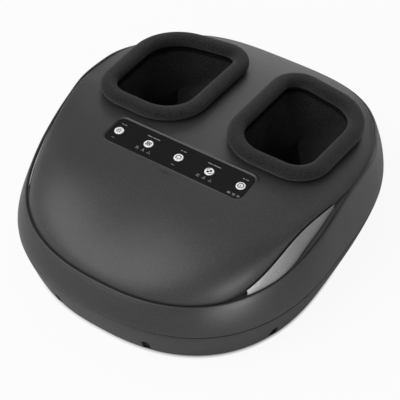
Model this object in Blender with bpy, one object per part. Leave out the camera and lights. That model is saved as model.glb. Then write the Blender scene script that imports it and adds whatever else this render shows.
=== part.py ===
"""Shiatsu foot massager: moulded housing with two padded foot wells, a key panel,
crescent side trims and a geared kneading drive under the soles.

Frame: +Z up, X left to right, toes point to -Y, the user sits at +Y.
The origin is the middle of the footprint at floor level.
"""
import math

import bmesh
import bpy
from mathutils import Matrix, Vector

MM = 0.001

# Seats and overruns shared by every piece
GAP = 0.3 * MM
OVERRUN = 5 * MM

# Housing plan, a superellipse with its own power at the toe end and at the user's end
HOUSING_WIDTH = 380 * MM
HOUSING_DEPTH = 430 * MM
WIDEST_Y = -20 * MM
TOE_POWER_SHARE = 2.4
BACK_POWER_SHARE = 3.3
OUTLINE_COUNT = 54
STATION_INSET = 12 * MM
SIDE_DENSITY_SHARE = 1.0
OUTLINE_SAMPLES = 2400
SEARCH_STEPS = 16

# Base tray
BASE_BOTTOM_Z = 2.2 * MM
BASE_FLOOR_WALL = 2.5 * MM
PARTING_Z = 50 * MM
BASE_TAPER = 13 * MM
BASE_CURVE_SHARE = 1.25
BASE_QUARTER_SHARE = 0.36
BASE_UPPER_SHARE = 0.7
BASE_WALL = 2.8 * MM
EDGE_CHAMFER = 1.4 * MM
TONGUE_HEIGHT = 4.5 * MM
TONGUE_WALL = 2.2 * MM
NOTCH_RADIUS = 5.5 * MM
NOTCH_DEPTH = 11 * MM
NOTCH_COUNT = 10
TOE_NOTCH_SHARE = 0.1553
SIDE_NOTCH_SHARE = -0.2395

# Side band between the base and the cover
PARTING_GAP = 0.8 * MM
BAND_WALL = 2.6 * MM
BAND_LEAN = 11.5 * MM
BAND_LEAN_SHARES = (
    (-0.493, 1.0),
    (-0.279, 1.0),
    (-0.1395, 0.7826),
    (-0.0349, 0.5913),
    (0.1628, 0.5913),
    (0.2326, 0.7391),
    (0.307, 1.1304),
    (0.3837, 1.2174),
    (0.493, 1.2174),
)
BAND_CURVE_SHARE = 1.6
LIP_WALL = 1.8 * MM
BAND_OUTER_SHARES = (0.03, 0.36, 0.7, 0.92)
BAND_INNER_SHARES = (0.55,)
GROOVE_SHARES = (
    (-0.493, 0.5901),
    (-0.407, 0.6078),
    (-0.3186, 0.6325),
    (-0.2326, 0.6608),
    (-0.1581, 0.7173),
    (-0.093, 0.7774),
    (-0.0279, 0.8481),
    (0.0419, 0.9152),
    (0.1279, 0.9152),
    (0.214, 0.894),
    (0.307, 0.8657),
    (0.3953, 0.8375),
    (0.493, 0.8198),
)
GROOVE_WIDTH = 1.7 * MM
LEDGE_DROP = 7 * MM
LEDGE_WALL = 2.5 * MM
LEDGE_REACH = 8 * MM

# Crescent pockets bitten out of the cover's edge, and their trims
BITE_TOE_SHARE = -0.3767
BITE_BACK_SHARE = 0.0698
BITE_DEPTH = 12 * MM
BITE_POWER_SHARE = 1.15
BITE_RISE = 25 * MM
BITE_FADE_SHARE = 0.28
TRIM_TOE_LAND = 26 * MM
TRIM_BACK_LAND = 34 * MM
TRIM_MARGIN = 0.6 * MM
TRIM_POCKET = 6.2 * MM
TRIM_POCKET_START = 32 * MM
TRIM_POCKET_RUN = 66 * MM
TRIM_SINK = 1.3 * MM
TRIM_CROWN = 1.3 * MM

# Cover dome
COVER_EDGE_DROP = 1.0 * MM
COVER_WALL = 3 * MM
COVER_CROWN_WALL = 5 * MM
CROWN_Z = 141.5 * MM
CROWN_Y_SHARE = -0.1163
CROWN_FALL_SHARE = 0.085
CROWN_SOFT = 40 * MM
DOME_TOE_POWER_SHARE = 2.0
DOME_SIDE_POWER_SHARE = 8.0
DOME_ROOT_SHARE = 0.62
OUTER_RING_SHARES = (1.0, 0.985, 0.95, 0.89, 0.8, 0.66, 0.46, 0.22)
INNER_RING_SHARES = (1.0, 0.93, 0.8, 0.52, 0.22)

# Foot opening, padded cuff and fabric liner, one set for each foot; corners are shares of
# the housing's width and depth
WELL_SHARE = 0.226316
CUFF_CORNER_SHARES = (
    (0.0737, -0.0078),
    (0.3691, -0.0063),
    (0.3835, 0.3227),
    (0.0747, 0.3691),
)
CUFF_CORNER_RADII = (47 * MM, 33 * MM, 55 * MM, 26 * MM)
CUFF_WIDTH = 21.5 * MM
CUFF_RISE = 7.4 * MM
CUFF_LEVEL = 7 * MM
CUFF_SEAM_WIDTH = 14 * MM
CUFF_ARC_STEPS = 6
CUFF_SIDE_STEPS = 3
CUFF_SEAT = 0.6 * MM
CUFF_TOP_STEPS = 8
CUFF_SEAT_STEPS = 3
CUFF_SIDE_SHARE = 0.85
CUFF_ROUND_SHARE = 0.9
OPENING_LAND = 3 * MM
OPENING_REACH = 60 * MM
LINER_MARGIN = 9 * MM
LINER_WALL = 1.5 * MM
LINER_COUNT = 22
LINER_FLOOR_Z = 35.6 * MM
LINER_HALF_SHARE = 0.11842
LINER_TOE_HALF_SHARE = 0.09474
LINER_SQUARE_SHARE = 3.6
LINER_MOUTH_SHARE = 0.8
LINER_STATION_SHARES = (
    (0.3349, 0.6459, 0.0023, 0.8253),
    (0.3326, 0.3626, -0.014, 0.7498),
    (0.3233, 0.1549, -0.0465, 0.7025),
    (0.2791, 0.0132, -0.0884, 0.6553),
    (0.1767, 0.0, -0.1395, 0.5987),
    (0.0326, 0.0, -0.1953, 0.5231),
    (-0.1163, 0.0, -0.2419, 0.4287),
    (-0.2419, 0.0132, -0.2791, 0.2965),
)
LINER_TOE_SHARES = (-0.2884, 0.1454)
PARALLEL_SHARE = 1e-12
HIT_SHARE = 1e-9

# Rigid foot tubs round the liners
TUB_CORNER_SHARES = (
    (0.0895, -0.3163),
    (0.3263, -0.3163),
    (0.3684, -0.1674),
    (0.3684, 0.3395),
    (0.0895, 0.3721),
)
TUB_CORNER_RADIUS = 18 * MM
TUB_ARC_STEPS = 3
TUB_SIDE_STEPS = 2
TUB_FLOOR_Z = 25.5 * MM
TUB_WALL = 2.2 * MM
TUB_DRAFT = 2.5 * MM
TUB_HEADROOM = 5.5 * MM
TUB_WINDOW_CLEARANCE = 2.8 * MM
TUB_LEG_RADIUS = 5 * MM
TUB_LEG_SHARES = (
    (0.1579, -0.2744),
    (0.2947, -0.2605),
    (0.1421, 0.2605),
    (0.3105, 0.2419),
)

# Key panel, laid in a recess that leans towards the toes
PANEL_WIDTH = 182 * MM
PANEL_DEPTH = 31.5 * MM
PANEL_RADIUS = 8 * MM
PANEL_WALL = 1.3 * MM
PANEL_LAND = 13.6 * MM
PANEL_SINK = 2.9 * MM
PANEL_TILT_DEG = 2.6
PANEL_ARC_STEPS = 5
BEZEL_FLARE = 1.6 * MM
BEZEL_START = 1.5 * MM
KEY_END_LAND = 9.8 * MM
KEY_SPOTS = 5
KEY_RADIUS = 6 * MM
KEY_CLEARANCE = 0.35 * MM
KEY_PROUD = 0.3 * MM
KEY_CROWN = 0.4 * MM
KEY_FLANGE = 1.8 * MM
KEY_FLANGE_WALL = 1.2 * MM
KEY_FLOOR_WALL = 1.5 * MM
KEY_NUB_RADIUS = 2 * MM
KEY_NUB = 1.2 * MM
KEY_TRAVEL = 0.6 * MM
KEY_SEGMENTS = 12
SWITCH_SIZE = 6 * MM
SWITCH_HEIGHT = 1.5 * MM
BOARD_WALL = 1.6 * MM
BOARD_MARGIN = 3 * MM
BOARD_POST_RADIUS = 2.6 * MM

# Kneading drive: pinion, idlers and two kneaders under each sole
KNEADER_OFFSET = 1.5 * MM
GEAR_PRESSURE_DEG = 20
ADDENDUM_SHARE = 0.85
DEDENDUM_SHARE = 1.2
GEAR_BACKLASH = 0.5 * MM
PINION_TEETH = 10
IDLER_TEETH = 18
KNEADER_TEETH = 24
TOE_KNEADER_SHARE = -0.11628
GEAR_Z = 12 * MM
GEAR_FACE = 8 * MM
PLATE_Z = 8 * MM
PLATE_WALL = 2.5 * MM
PLATE_MARGIN = 7 * MM
PLATE_RADIUS = 12 * MM
PLATE_ARC_STEPS = 4
PLATE_SPACER_RADIUS = 5 * MM
AXLE_RADIUS = 4 * MM
AXLE_FLANGE_RADIUS = 6.5 * MM
AXLE_SPIGOT_RADIUS = 3 * MM
AXLE_REACH = 2.6 * MM
BORE_SEGMENTS = 9
HEAD_CLEARANCE = 4 * MM
HEAD_WALL = 3.2 * MM
HEAD_STAND = 4.5 * MM
HEAD_HUB_RADIUS = 9 * MM
HEAD_SEGMENTS = 14
NODE_RADIUS = 8.5 * MM
NODE_RISE = 6.8 * MM
NODE_RIM = 2.5 * MM
NODE_SPOTS = 3
NODE_RINGS = 2
NODE_SEGMENTS = 8

# Gear motor on its bridge
BRIDGE_WALL = 2.4 * MM
BRIDGE_WIDTH = 30 * MM
BRIDGE_SPAN = 68 * MM
BRIDGE_Z = 24 * MM
BRIDGE_FOOT = 7.2 * MM
JOURNAL_RADIUS = 4 * MM
JOURNAL_CLEARANCE = 1 * MM
GEARBOX_RADIUS = 24 * MM
GEARBOX_HEIGHT = 22 * MM
MOTOR_RADIUS = 18 * MM
MOTOR_HEIGHT = 38 * MM
MOTOR_BOSS_RADIUS = 7 * MM
MOTOR_BOSS_HEIGHT = 3 * MM
MOTOR_SEGMENTS = 18

# Air system and electrics in the middle aisle
AISLE_SHARES = (0.041, 0.1366, 0.2732)
PUMP_WIDTH = 46 * MM
PUMP_LENGTH = 56 * MM
PUMP_HEIGHT = 40 * MM
PUMP_HEAD_RADIUS = 17 * MM
PUMP_HEAD_HEIGHT = 20 * MM
PUMP_PORT_RADIUS = 3 * MM
PUMP_PORT_LENGTH = 9 * MM
VALVE_WIDTH = 26 * MM
VALVE_LENGTH = 20 * MM
VALVE_HEIGHT = 24 * MM
HOSE_RADIUS = 2.4 * MM
HOSE_POINTS = 12
HOSE_RISE = 40 * MM
BAG_LENGTH = 66 * MM
BAG_WIDTH = 70 * MM
BAG_RISE = 3.4 * MM
BAG_STEPS = 6
BAG_COUNT = 10
BAG_EDGE_SHARE = 0.08
BAG_WAIST_SHARE = 0.14
BAG_POWER_SHARE = 4
BOARD_BOX_WIDTH = 50 * MM
BOARD_BOX_HEIGHT = 44 * MM
CHIP_WIDTH = 18 * MM
CHIP_WALL = 6 * MM
INLET_RADIUS = 5.8 * MM
INLET_BORE_RADIUS = 3.3 * MM
INLET_FLANGE_RADIUS = 8 * MM
INLET_FLANGE_WALL = 1.4 * MM
INLET_LENGTH = 14 * MM
INLET_Z = 30 * MM
HEATER_WALL = 0.8 * MM
HEATER_WIDTH = 52 * MM
HEATER_LENGTH = 44 * MM
HEATER_RADIUS = 8 * MM
HEATER_LAND = 23.2 * MM
HEATER_ARC_STEPS = 3

# Feet, screws and vents under the base
FOOT_RADIUS = 12 * MM
FOOT_RECESS = 1.2 * MM
FOOT_SPOT_SHARES = ((0.2316, -0.3488), (0.2947, 0.3488))
SCREW_SPOT_SHARES = ((0.25, -0.3953), (0.4132, 0.0279), (0.25, 0.4279))
SCREW_RADIUS = 1.9 * MM
SCREW_HEAD_RADIUS = 3.8 * MM
SCREW_HEAD = 2.2 * MM
SCREW_LENGTH = 14 * MM
SCREW_WELL = 5 * MM
SCREW_BOSS_RADIUS = 6.4 * MM
SCREW_BOSS_TOP = 7 * MM
SCREW_CLEARANCE = 0.4 * MM
SCREW_SEGMENTS = 8
VENT_LENGTH = 26 * MM
VENT_WIDTH = 3 * MM
VENT_PITCH = 8 * MM
VENT_COUNT = 4
VENT_SHARE = 0.2233
SMOOTH_DEG = 35


def clear_scene():
    for item in list(bpy.data.objects):
        bpy.data.objects.remove(item, do_unlink=True)


def material(name, colour, roughness, metallic=0.0):
    slot = bpy.data.materials.new(name)
    slot.use_nodes = True
    shader = slot.node_tree.nodes["Principled BSDF"]
    shader.inputs["Base Color"].default_value = (*colour, 1.0)
    shader.inputs["Roughness"].default_value = roughness
    shader.inputs["Metallic"].default_value = metallic
    return slot


def to_object(name, bm, slot=None, smooth=True):
    """Closes a bmesh into a named object with its normals pointing out."""
    bmesh.ops.recalc_face_normals(bm, faces=bm.faces)
    mesh = bpy.data.meshes.new(name)
    bm.to_mesh(mesh)
    bm.free()
    item = bpy.data.objects.new(name, mesh)
    bpy.context.scene.collection.objects.link(item)
    if slot:
        mesh.materials.append(slot)
    if smooth:
        mesh.shade_smooth()
        mesh.set_sharp_from_angle(angle=math.radians(SMOOTH_DEG))
    return item


def skin_rings(bm, rings, loop=False):
    """Joins rings of equal point counts with quads and gives back their vertices."""
    rows = [[bm.verts.new(point) for point in ring] for ring in rings]
    pairs = list(zip(rows, rows[1:]))
    if loop:
        pairs.append((rows[-1], rows[0]))
    for low, high in pairs:
        count = len(low)
        for index in range(count):
            after = (index + 1) % count
            bm.faces.new((low[index], low[after], high[after], high[index]))
    return rows


def fan_cap(bm, row, centre):
    tip = bm.verts.new(centre)
    count = len(row)
    for index in range(count):
        bm.faces.new((row[index], row[(index + 1) % count], tip))


def lofted(name, rings, slot=None, loop=False, smooth=True):
    bm = bmesh.new()
    rows = skin_rings(bm, rings, loop)
    if not loop:
        bm.faces.new(rows[0])
        bm.faces.new(rows[-1])
    return to_object(name, bm, slot, smooth)


def circle(radius, z, segments, x=0.0, y=0.0, phase=0.0):
    turns = [phase + math.tau * index / segments for index in range(segments)]
    return [
        Vector((x + radius * math.cos(turn), y + radius * math.sin(turn), z)) for turn in turns
    ]


def turned(name, profile, segments, slot=None, x=0.0, y=0.0):
    """Solid of revolution about the vertical line through (x, y)."""
    rings = [circle(radius, z, segments, x, y) for radius, z in profile]
    return lofted(name, rings, slot)


def tube_turned(name, profile, segments, slot=None, x=0.0, y=0.0):
    rings = [circle(radius, z, segments, x, y) for radius, z in profile]
    return lofted(name, rings, slot, loop=True)


def block(name, size, centre, slot=None):
    bm = bmesh.new()
    bmesh.ops.create_cube(bm, size=1.0)
    bmesh.ops.scale(bm, vec=Vector(size), verts=bm.verts)
    bmesh.ops.translate(bm, vec=Vector(centre), verts=bm.verts)
    return to_object(name, bm, slot, smooth=False)


def joined(name, items):
    """One cutter or adder out of several separate solids."""
    bm = bmesh.new()
    for item in items:
        piece = item.data.copy()
        piece.transform(item.matrix_basis)
        bm.from_mesh(piece)
        bpy.data.meshes.remove(piece)
        bpy.data.objects.remove(item, do_unlink=True)
    mesh = bpy.data.meshes.new(name)
    bm.to_mesh(mesh)
    bm.free()
    result = bpy.data.objects.new(name, mesh)
    bpy.context.scene.collection.objects.link(result)
    return result


def helper(item):
    item.hide_render = True
    item.display_type = "WIRE"
    return item


def boolean(item, tool, operation):
    step = item.modifiers.new(tool.name, "BOOLEAN")
    step.operation = operation
    step.solver = "EXACT"
    step.object = helper(tool)
    return item


def spots(shares):
    """Places on the plan out of shares of the housing's width and depth."""
    return [(x * HOUSING_WIDTH, y * HOUSING_DEPTH) for x, y in shares]


def smoothstep(share):
    held = min(max(share, 0.0), 1.0)
    return held * held * (3 - 2 * held)


def mirrored(points, side):
    return [Vector((side * point[0], point[1], point[2])) for point in points]


def plan_point(turn, inset):
    """Point of the housing's plan; turn runs from the toe end towards +X."""
    across = math.sin(turn)
    along = math.cos(turn)
    half = HOUSING_WIDTH / 2 - inset
    if along > 0:
        reach = HOUSING_DEPTH / 2 + WIDEST_Y - inset
        power = TOE_POWER_SHARE
    else:
        reach = HOUSING_DEPTH / 2 - WIDEST_Y - inset
        power = BACK_POWER_SHARE
    x = math.copysign(half * abs(across) ** (2 / power), across)
    y = WIDEST_Y - math.copysign(reach * abs(along) ** (2 / power), along)
    return x, y


def plan_turns(count):
    """Turns that space points evenly along the plan, and closer beside the crescents."""
    steps = [math.tau * index / OUTLINE_SAMPLES for index in range(OUTLINE_SAMPLES + 1)]
    places = [plan_point(turn, 0) for turn in steps]
    lengths = [0.0]
    for before, after in zip(places, places[1:]):
        beside = BITE_TOE_SHARE < after[1] / HOUSING_DEPTH < BITE_BACK_SHARE
        closer = 1 + SIDE_DENSITY_SHARE * beside
        lengths.append(lengths[-1] + closer * math.dist(before, after))
    turns = []
    cursor = 0
    for index in range(count):
        goal = lengths[-1] * index / count
        while lengths[cursor + 1] < goal:
            cursor += 1
        part = (goal - lengths[cursor]) / (lengths[cursor + 1] - lengths[cursor])
        turns.append(steps[cursor] + part * (steps[1] - steps[0]))
    return turns


def turn_at(y, inset):
    """Turn on the +X side at which the inset plan passes the station y."""
    if y < WIDEST_Y:
        reach = HOUSING_DEPTH / 2 + WIDEST_Y - inset
        return math.acos(((WIDEST_Y - y) / reach) ** (TOE_POWER_SHARE / 2))
    reach = HOUSING_DEPTH / 2 - WIDEST_Y - inset
    return math.acos(-(((y - WIDEST_Y) / reach) ** (BACK_POWER_SHARE / 2)))


def smooth_table(table, y):
    """Smooth curve through the (station, value) pairs of a table."""
    last = len(table) - 1
    if y <= table[0][0]:
        return table[0][1]
    if y >= table[last][0]:
        return table[last][1]
    index = 0
    while table[index + 1][0] < y:
        index += 1
    slopes = []
    for spot in (index, index + 1):
        before = table[max(spot - 1, 0)]
        after = table[min(spot + 1, last)]
        slopes.append((after[1] - before[1]) / (after[0] - before[0]))
    start, low = table[index]
    end, high = table[index + 1]
    run = end - start
    t = (y - start) / run
    bend = smoothstep(t)
    lift = t * (1 - t) * run * (slopes[0] * (1 - t) - slopes[1] * t)
    return low + (high - low) * bend + lift


def groove_z(y):
    return CROWN_Z * smooth_table(GROOVE_SHARES, y / HOUSING_DEPTH)


def band_lean(y):
    return BAND_LEAN * smooth_table(BAND_LEAN_SHARES, y / HOUSING_DEPTH)


def bump(y):
    """Share of the crescent's depth at a station along the side."""
    share = (y / HOUSING_DEPTH - BITE_TOE_SHARE) / (BITE_BACK_SHARE - BITE_TOE_SHARE)
    if share <= 0 or share >= 1:
        return 0.0
    return math.sin(math.pi * share) ** BITE_POWER_SHARE


def station_y(turn):
    """Station of a turn along the side, read near the band's lip."""
    return plan_point(turn, STATION_INSET)[1]


def lip_inset(y):
    return band_lean(y) + EDGE_CHAMFER / 2 + LIP_WALL


def cover_inset(y):
    return lip_inset(y) + GROOVE_WIDTH


def cover_edge_z(y):
    return groove_z(y) - COVER_EDGE_DROP + BITE_RISE * bump(y)


def crown_z(y):
    back = max(y - CROWN_Y_SHARE * HOUSING_DEPTH, 0.0)
    return CROWN_Z - CROWN_FALL_SHARE * back * back / (back + CROWN_SOFT)


def dome_rise(turn, share, inset):
    """Share of the way from the cover's edge to its crown."""
    x, y = plan_point(turn, inset)
    half = HOUSING_WIDTH / 2 - inset
    toe_reach = HOUSING_DEPTH / 2 + WIDEST_Y - inset
    lean = math.atan2(abs(x) / half, (WIDEST_Y - y) / toe_reach)
    blend = smoothstep(lean / (math.pi / 2))
    power = DOME_TOE_POWER_SHARE + (DOME_SIDE_POWER_SHARE - DOME_TOE_POWER_SHARE) * blend
    return max(1 - share**power, 0.0) ** DOME_ROOT_SHARE


def cover_point(turn, share, wall=0.0, crown_wall=0.0):
    """Point of the cover's surface; share is 1 at the edge and 0 at the pole."""
    station = station_y(turn)
    inset = cover_inset(station) + wall
    plain_x, plain_y = plan_point(turn, inset)
    bite = BITE_DEPTH * bump(station)
    bitten_x, bitten_y = plan_point(turn, inset + bite)
    fade = smoothstep((share - 1 + BITE_FADE_SHARE) / BITE_FADE_SHARE)
    edge_x = plain_x + (bitten_x - plain_x) * fade
    edge_y = plain_y + (bitten_y - plain_y) * fade
    x = share * edge_x
    y = WIDEST_Y + share * (edge_y - WIDEST_Y)
    rise = dome_rise(turn, share, inset)
    foot = cover_edge_z(station) - BITE_RISE * bump(station) * (1 - fade)
    return Vector((x, y, foot + (crown_z(y) - crown_wall - foot) * rise))


def cover_share(x, y, inset):
    """Turn and share of the unbitten dome at a point of the plan."""
    half = HOUSING_WIDTH / 2 - inset
    if y < WIDEST_Y:
        reach = HOUSING_DEPTH / 2 + WIDEST_Y - inset
        power = TOE_POWER_SHARE
    else:
        reach = HOUSING_DEPTH / 2 - WIDEST_Y - inset
        power = BACK_POWER_SHARE
    across = (abs(x) / half) ** (power / 2)
    along = (abs(y - WIDEST_Y) / reach) ** (power / 2)
    share = (across * across + along * along) ** (1 / power)
    turn = math.atan2(across, along if y < WIDEST_Y else -along)
    return turn, share


def cover_z(x, y):
    """Height of the cover's outer surface above a point of the plan."""
    turn, share = cover_share(x, y, STATION_INSET)
    turn, share = cover_share(x, y, cover_inset(station_y(turn)))
    goal = math.hypot(x, y - WIDEST_Y)
    low = 0.0
    high = 1.0
    for step in range(SEARCH_STEPS):
        middle = (low + high) / 2
        point = cover_point(turn, middle)
        if math.hypot(point.x, point.y - WIDEST_Y) < goal:
            low = middle
        else:
            high = middle
    return cover_point(turn, high).z


def level_ring(turns, inset, z):
    ring = []
    for turn in turns:
        x, y = plan_point(turn, inset)
        ring.append(Vector((x, y, z)))
    return ring


def base_side_inset(z):
    """How far the base's outer side stands in from the parting line's plan."""
    share = 1 - (z - BASE_BOTTOM_Z) / (PARTING_Z - BASE_BOTTOM_Z)
    return EDGE_CHAMFER / 2 + (BASE_TAPER - EDGE_CHAMFER / 2) * share**BASE_CURVE_SHARE


def outward(x, y):
    """Outward direction of the plan at its point nearest to (x, y) on the same ray."""
    turn, share = cover_share(x, y, 0)
    step = math.pi / OUTLINE_SAMPLES
    ahead = Vector(plan_point(turn + step, 0))
    behind = Vector(plan_point(turn - step, 0))
    along = (ahead - behind).normalized()
    normal = Vector((along.y, -along.x))
    if normal.x < 0:
        normal = -normal
    return normal


def notch_tool(x, y):
    """Half-round cutter in the base's bottom edge, lying along the outward direction."""
    normal = outward(x, y)
    side = Vector((-normal.y, normal.x))
    rings = []
    for reach in (-NOTCH_DEPTH, BASE_TAPER):
        ring = []
        for index in range(NOTCH_COUNT):
            turn = math.tau * index / NOTCH_COUNT
            flat = NOTCH_RADIUS * math.cos(turn)
            z = BASE_BOTTOM_Z + NOTCH_RADIUS * math.sin(turn)
            spot = Vector((x, y)) + normal * reach + side * flat
            ring.append(Vector((spot.x, spot.y, z)))
        rings.append(ring)
    return lofted("notch_tool", rings)


def base_levels():
    """Inset and height of each ring round the base tray, outside then inside."""
    floor_z = BASE_BOTTOM_Z + BASE_FLOOR_WALL
    low = BASE_BOTTOM_Z + EDGE_CHAMFER
    quarter = BASE_BOTTOM_Z + (PARTING_Z - BASE_BOTTOM_Z) * BASE_QUARTER_SHARE
    upper = BASE_BOTTOM_Z + (PARTING_Z - BASE_BOTTOM_Z) * BASE_UPPER_SHARE
    shoulder = PARTING_Z - EDGE_CHAMFER
    levels = [(BASE_TAPER + EDGE_CHAMFER, BASE_BOTTOM_Z)]
    levels += [(base_side_inset(z), z) for z in (low, quarter, upper, shoulder)]
    tongue = EDGE_CHAMFER / 2 + BAND_WALL - GAP
    levels += [
        (EDGE_CHAMFER, PARTING_Z),
        (tongue, PARTING_Z),
        (tongue, PARTING_Z + TONGUE_HEIGHT),
        (tongue + TONGUE_WALL, PARTING_Z + TONGUE_HEIGHT),
    ]
    levels += [(base_side_inset(z) + BASE_WALL + TONGUE_WALL, z) for z in (upper, quarter)]
    levels.append((BASE_TAPER + BASE_WALL + TONGUE_WALL, floor_z))
    return levels


def screw_seat_z():
    return BASE_BOTTOM_Z + SCREW_WELL


def drive_spots():
    """Axis of each spacer between the base and the gear plate."""
    reach = kneader_x() + head_radius()
    heel = heel_kneader_y()
    return [(side * reach, y) for side in (-1, 1) for y in (toe_kneader_y(), heel)]


def base_bosses():
    floor_z = BASE_BOTTOM_Z + BASE_FLOOR_WALL / 2
    items = []
    for x, y in spots(SCREW_SPOT_SHARES):
        for side in (-1, 1):
            top = screw_seat_z() + SCREW_LENGTH + SCREW_BOSS_TOP
            profile = ((SCREW_BOSS_RADIUS, floor_z), (SCREW_BOSS_RADIUS, top))
            items.append(turned("boss", profile, SCREW_SEGMENTS, x=side * x, y=y))
    for x, y in drive_spots():
        profile = ((PLATE_SPACER_RADIUS, floor_z), (PLATE_SPACER_RADIUS, PLATE_Z - GAP))
        items.append(turned("spacer", profile, SCREW_SEGMENTS, x=x, y=y))
    return joined("base_bosses", items)


def base_cuts():
    items = []
    low = BASE_BOTTOM_Z - OVERRUN
    well = SCREW_HEAD_RADIUS + SCREW_CLEARANCE
    bore = SCREW_RADIUS + SCREW_CLEARANCE
    for x, y in spots(SCREW_SPOT_SHARES):
        for side in (-1, 1):
            top = screw_seat_z() + SCREW_LENGTH + SCREW_CLEARANCE
            profile = ((well, low), (well, screw_seat_z()), (bore, screw_seat_z()), (bore, top))
            items.append(turned("well", profile, SCREW_SEGMENTS, x=side * x, y=y))
    for x, y in spots(FOOT_SPOT_SHARES):
        for side in (-1, 1):
            radius = FOOT_RADIUS + GAP
            profile = ((radius, low), (radius, BASE_BOTTOM_Z + FOOT_RECESS))
            items.append(turned("recess", profile, KEY_SEGMENTS, x=side * x, y=y))
    for side in (-1, 1):
        for index in range(VENT_COUNT):
            x = side * (VENT_PITCH * (index + 1) + VENT_WIDTH)
            size = (VENT_WIDTH, VENT_LENGTH, BASE_FLOOR_WALL + 2 * OVERRUN)
            centre = (x, VENT_SHARE * HOUSING_DEPTH, BASE_BOTTOM_Z)
            items.append(block("vent", size, centre))
    return joined("base_cuts", items)


def edge_y_at(x):
    """Toe-side y of the base's bottom edge at a given x."""
    inset = BASE_TAPER
    half = HOUSING_WIDTH / 2 - inset
    reach = HOUSING_DEPTH / 2 + WIDEST_Y - inset
    return WIDEST_Y - reach * (1 - (x / half) ** TOE_POWER_SHARE) ** (1 / TOE_POWER_SHARE)


def base_notches():
    items = []
    toe_x = TOE_NOTCH_SHARE * HOUSING_WIDTH
    side_y = SIDE_NOTCH_SHARE * HOUSING_DEPTH
    side_x = plan_point(turn_at(side_y, BASE_TAPER), BASE_TAPER)[0]
    for x, y in ((toe_x, edge_y_at(toe_x)), (side_x, side_y)):
        for side in (-1, 1):
            tool = notch_tool(x, y)
            if side < 0:
                tool.data.transform(mirror_x())
                tool.data.flip_normals()
            items.append(tool)
    return joined("base_notches", items)


def mirror_x():
    return Matrix.Scale(-1, 4, Vector((1, 0, 0)))


def build_base(turns):
    slot = material("base_plastic", (0.045, 0.045, 0.048), 0.55)
    bm = bmesh.new()
    rings = [level_ring(turns, inset, z) for inset, z in base_levels()]
    rows = skin_rings(bm, rings)
    bm.faces.new(rows[0])
    bm.faces.new(rows[-1])
    item = to_object("base_tray", bm, slot)
    boolean(item, base_bosses(), "UNION")
    boolean(item, base_cuts(), "DIFFERENCE")
    boolean(item, base_notches(), "DIFFERENCE")
    boolean(item, inlet_hole(), "DIFFERENCE")


def band_profile(y):
    """Inset and height round the band's section at a station y."""
    low = PARTING_Z + PARTING_GAP
    top = groove_z(y)
    ledge = top - LEDGE_DROP
    lean = band_lean(y)
    lip = lip_inset(y)
    reach = lip + LEDGE_REACH + BITE_DEPTH * bump(y)
    skirt = PARTING_Z + TONGUE_HEIGHT + GAP
    start = EDGE_CHAMFER / 2
    profile = [(start + BAND_WALL - 2 * GAP, low), (EDGE_CHAMFER, low)]
    for share in BAND_OUTER_SHARES:
        profile.append((start + lean * share**BAND_CURVE_SHARE, low + (top - low) * share))
    profile += [
        (start + lean + LIP_WALL / 3, top),
        (lip, top - LIP_WALL / 3),
        (lip, ledge),
        (reach, ledge),
        (reach, ledge - LEDGE_WALL),
        (lip + LEDGE_WALL / 2, ledge - LEDGE_WALL),
    ]
    for share in BAND_INNER_SHARES:
        z = low + (top - low) * share
        inner = start + lean * share**BAND_CURVE_SHARE + BAND_WALL
        profile.append((inner, min(z, ledge - LEDGE_WALL)))
    profile.append((start + BAND_WALL + TONGUE_WALL, skirt + BAND_WALL / 2))
    profile.append((start + BAND_WALL - 2 * GAP, skirt))
    return profile


def build_band(turns):
    slot = material("band_plastic", (0.058, 0.058, 0.062), 0.5)
    columns = []
    for turn in turns:
        column = []
        for inset, z in band_profile(station_y(turn)):
            x, y = plan_point(turn, inset)
            column.append(Vector((x, y, z)))
        columns.append(column)
    bm = bmesh.new()
    rows = [[bm.verts.new(point) for point in column] for column in columns]
    for index, row in enumerate(rows):
        after = rows[(index + 1) % len(rows)]
        for spot in range(len(row)):
            up = (spot + 1) % len(row)
            bm.faces.new((row[spot], row[up], after[up], after[spot]))
    return to_object("side_band", bm, slot)


def rounded_outline(corners, radii, arc_steps, side_steps=1):
    """Closed outline through rounded corners with the outward direction at each point."""
    count = len(corners)
    arcs = []
    for index in range(count):
        corner = Vector(corners[index])
        before = (Vector(corners[index - 1]) - corner).normalized()
        after = (Vector(corners[(index + 1) % count]) - corner).normalized()
        bend = math.pi - before.angle(after)
        radius = radii[index]
        cut = radius * math.tan(bend / 2)
        middle = (before + after).normalized()
        centre = corner + middle * (radius / math.cos(bend / 2))
        start = corner + before * cut - centre
        end = corner + after * cut - centre
        first = math.atan2(start.y, start.x)
        sweep = math.atan2(end.y, end.x) - first
        sweep = (sweep + math.pi) % math.tau - math.pi
        for step in range(arc_steps + 1):
            turn = first + sweep * step / arc_steps
            normal = Vector((math.cos(turn), math.sin(turn)))
            arcs.append((centre + normal * radius, normal))
    if side_steps < 2:
        return arcs
    full = []
    for index, (point, normal) in enumerate(arcs):
        full.append((point, normal))
        if index % (arc_steps + 1) == arc_steps:
            after_point, after_normal = arcs[(index + 1) % len(arcs)]
            for step in range(1, side_steps):
                part = step / side_steps
                full.append((point.lerp(after_point, part), normal.lerp(after_normal, part)))
    return full


def even_outline(corners, radius, arc_steps, side_steps=1):
    """Rounded outline with the same radius at every corner."""
    return rounded_outline(corners, [radius] * len(corners), arc_steps, side_steps)


def cuff_line():
    corners = spots(CUFF_CORNER_SHARES)
    return rounded_outline(corners, CUFF_CORNER_RADII, CUFF_ARC_STEPS, CUFF_SIDE_STEPS)


def offset_ring(line, offset, side, height):
    ring = []
    for point, normal in line:
        spot = point + normal * offset
        z = height(spot.x, spot.y) if callable(height) else height
        ring.append(Vector((side * spot.x, spot.y, z)))
    return ring


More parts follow.
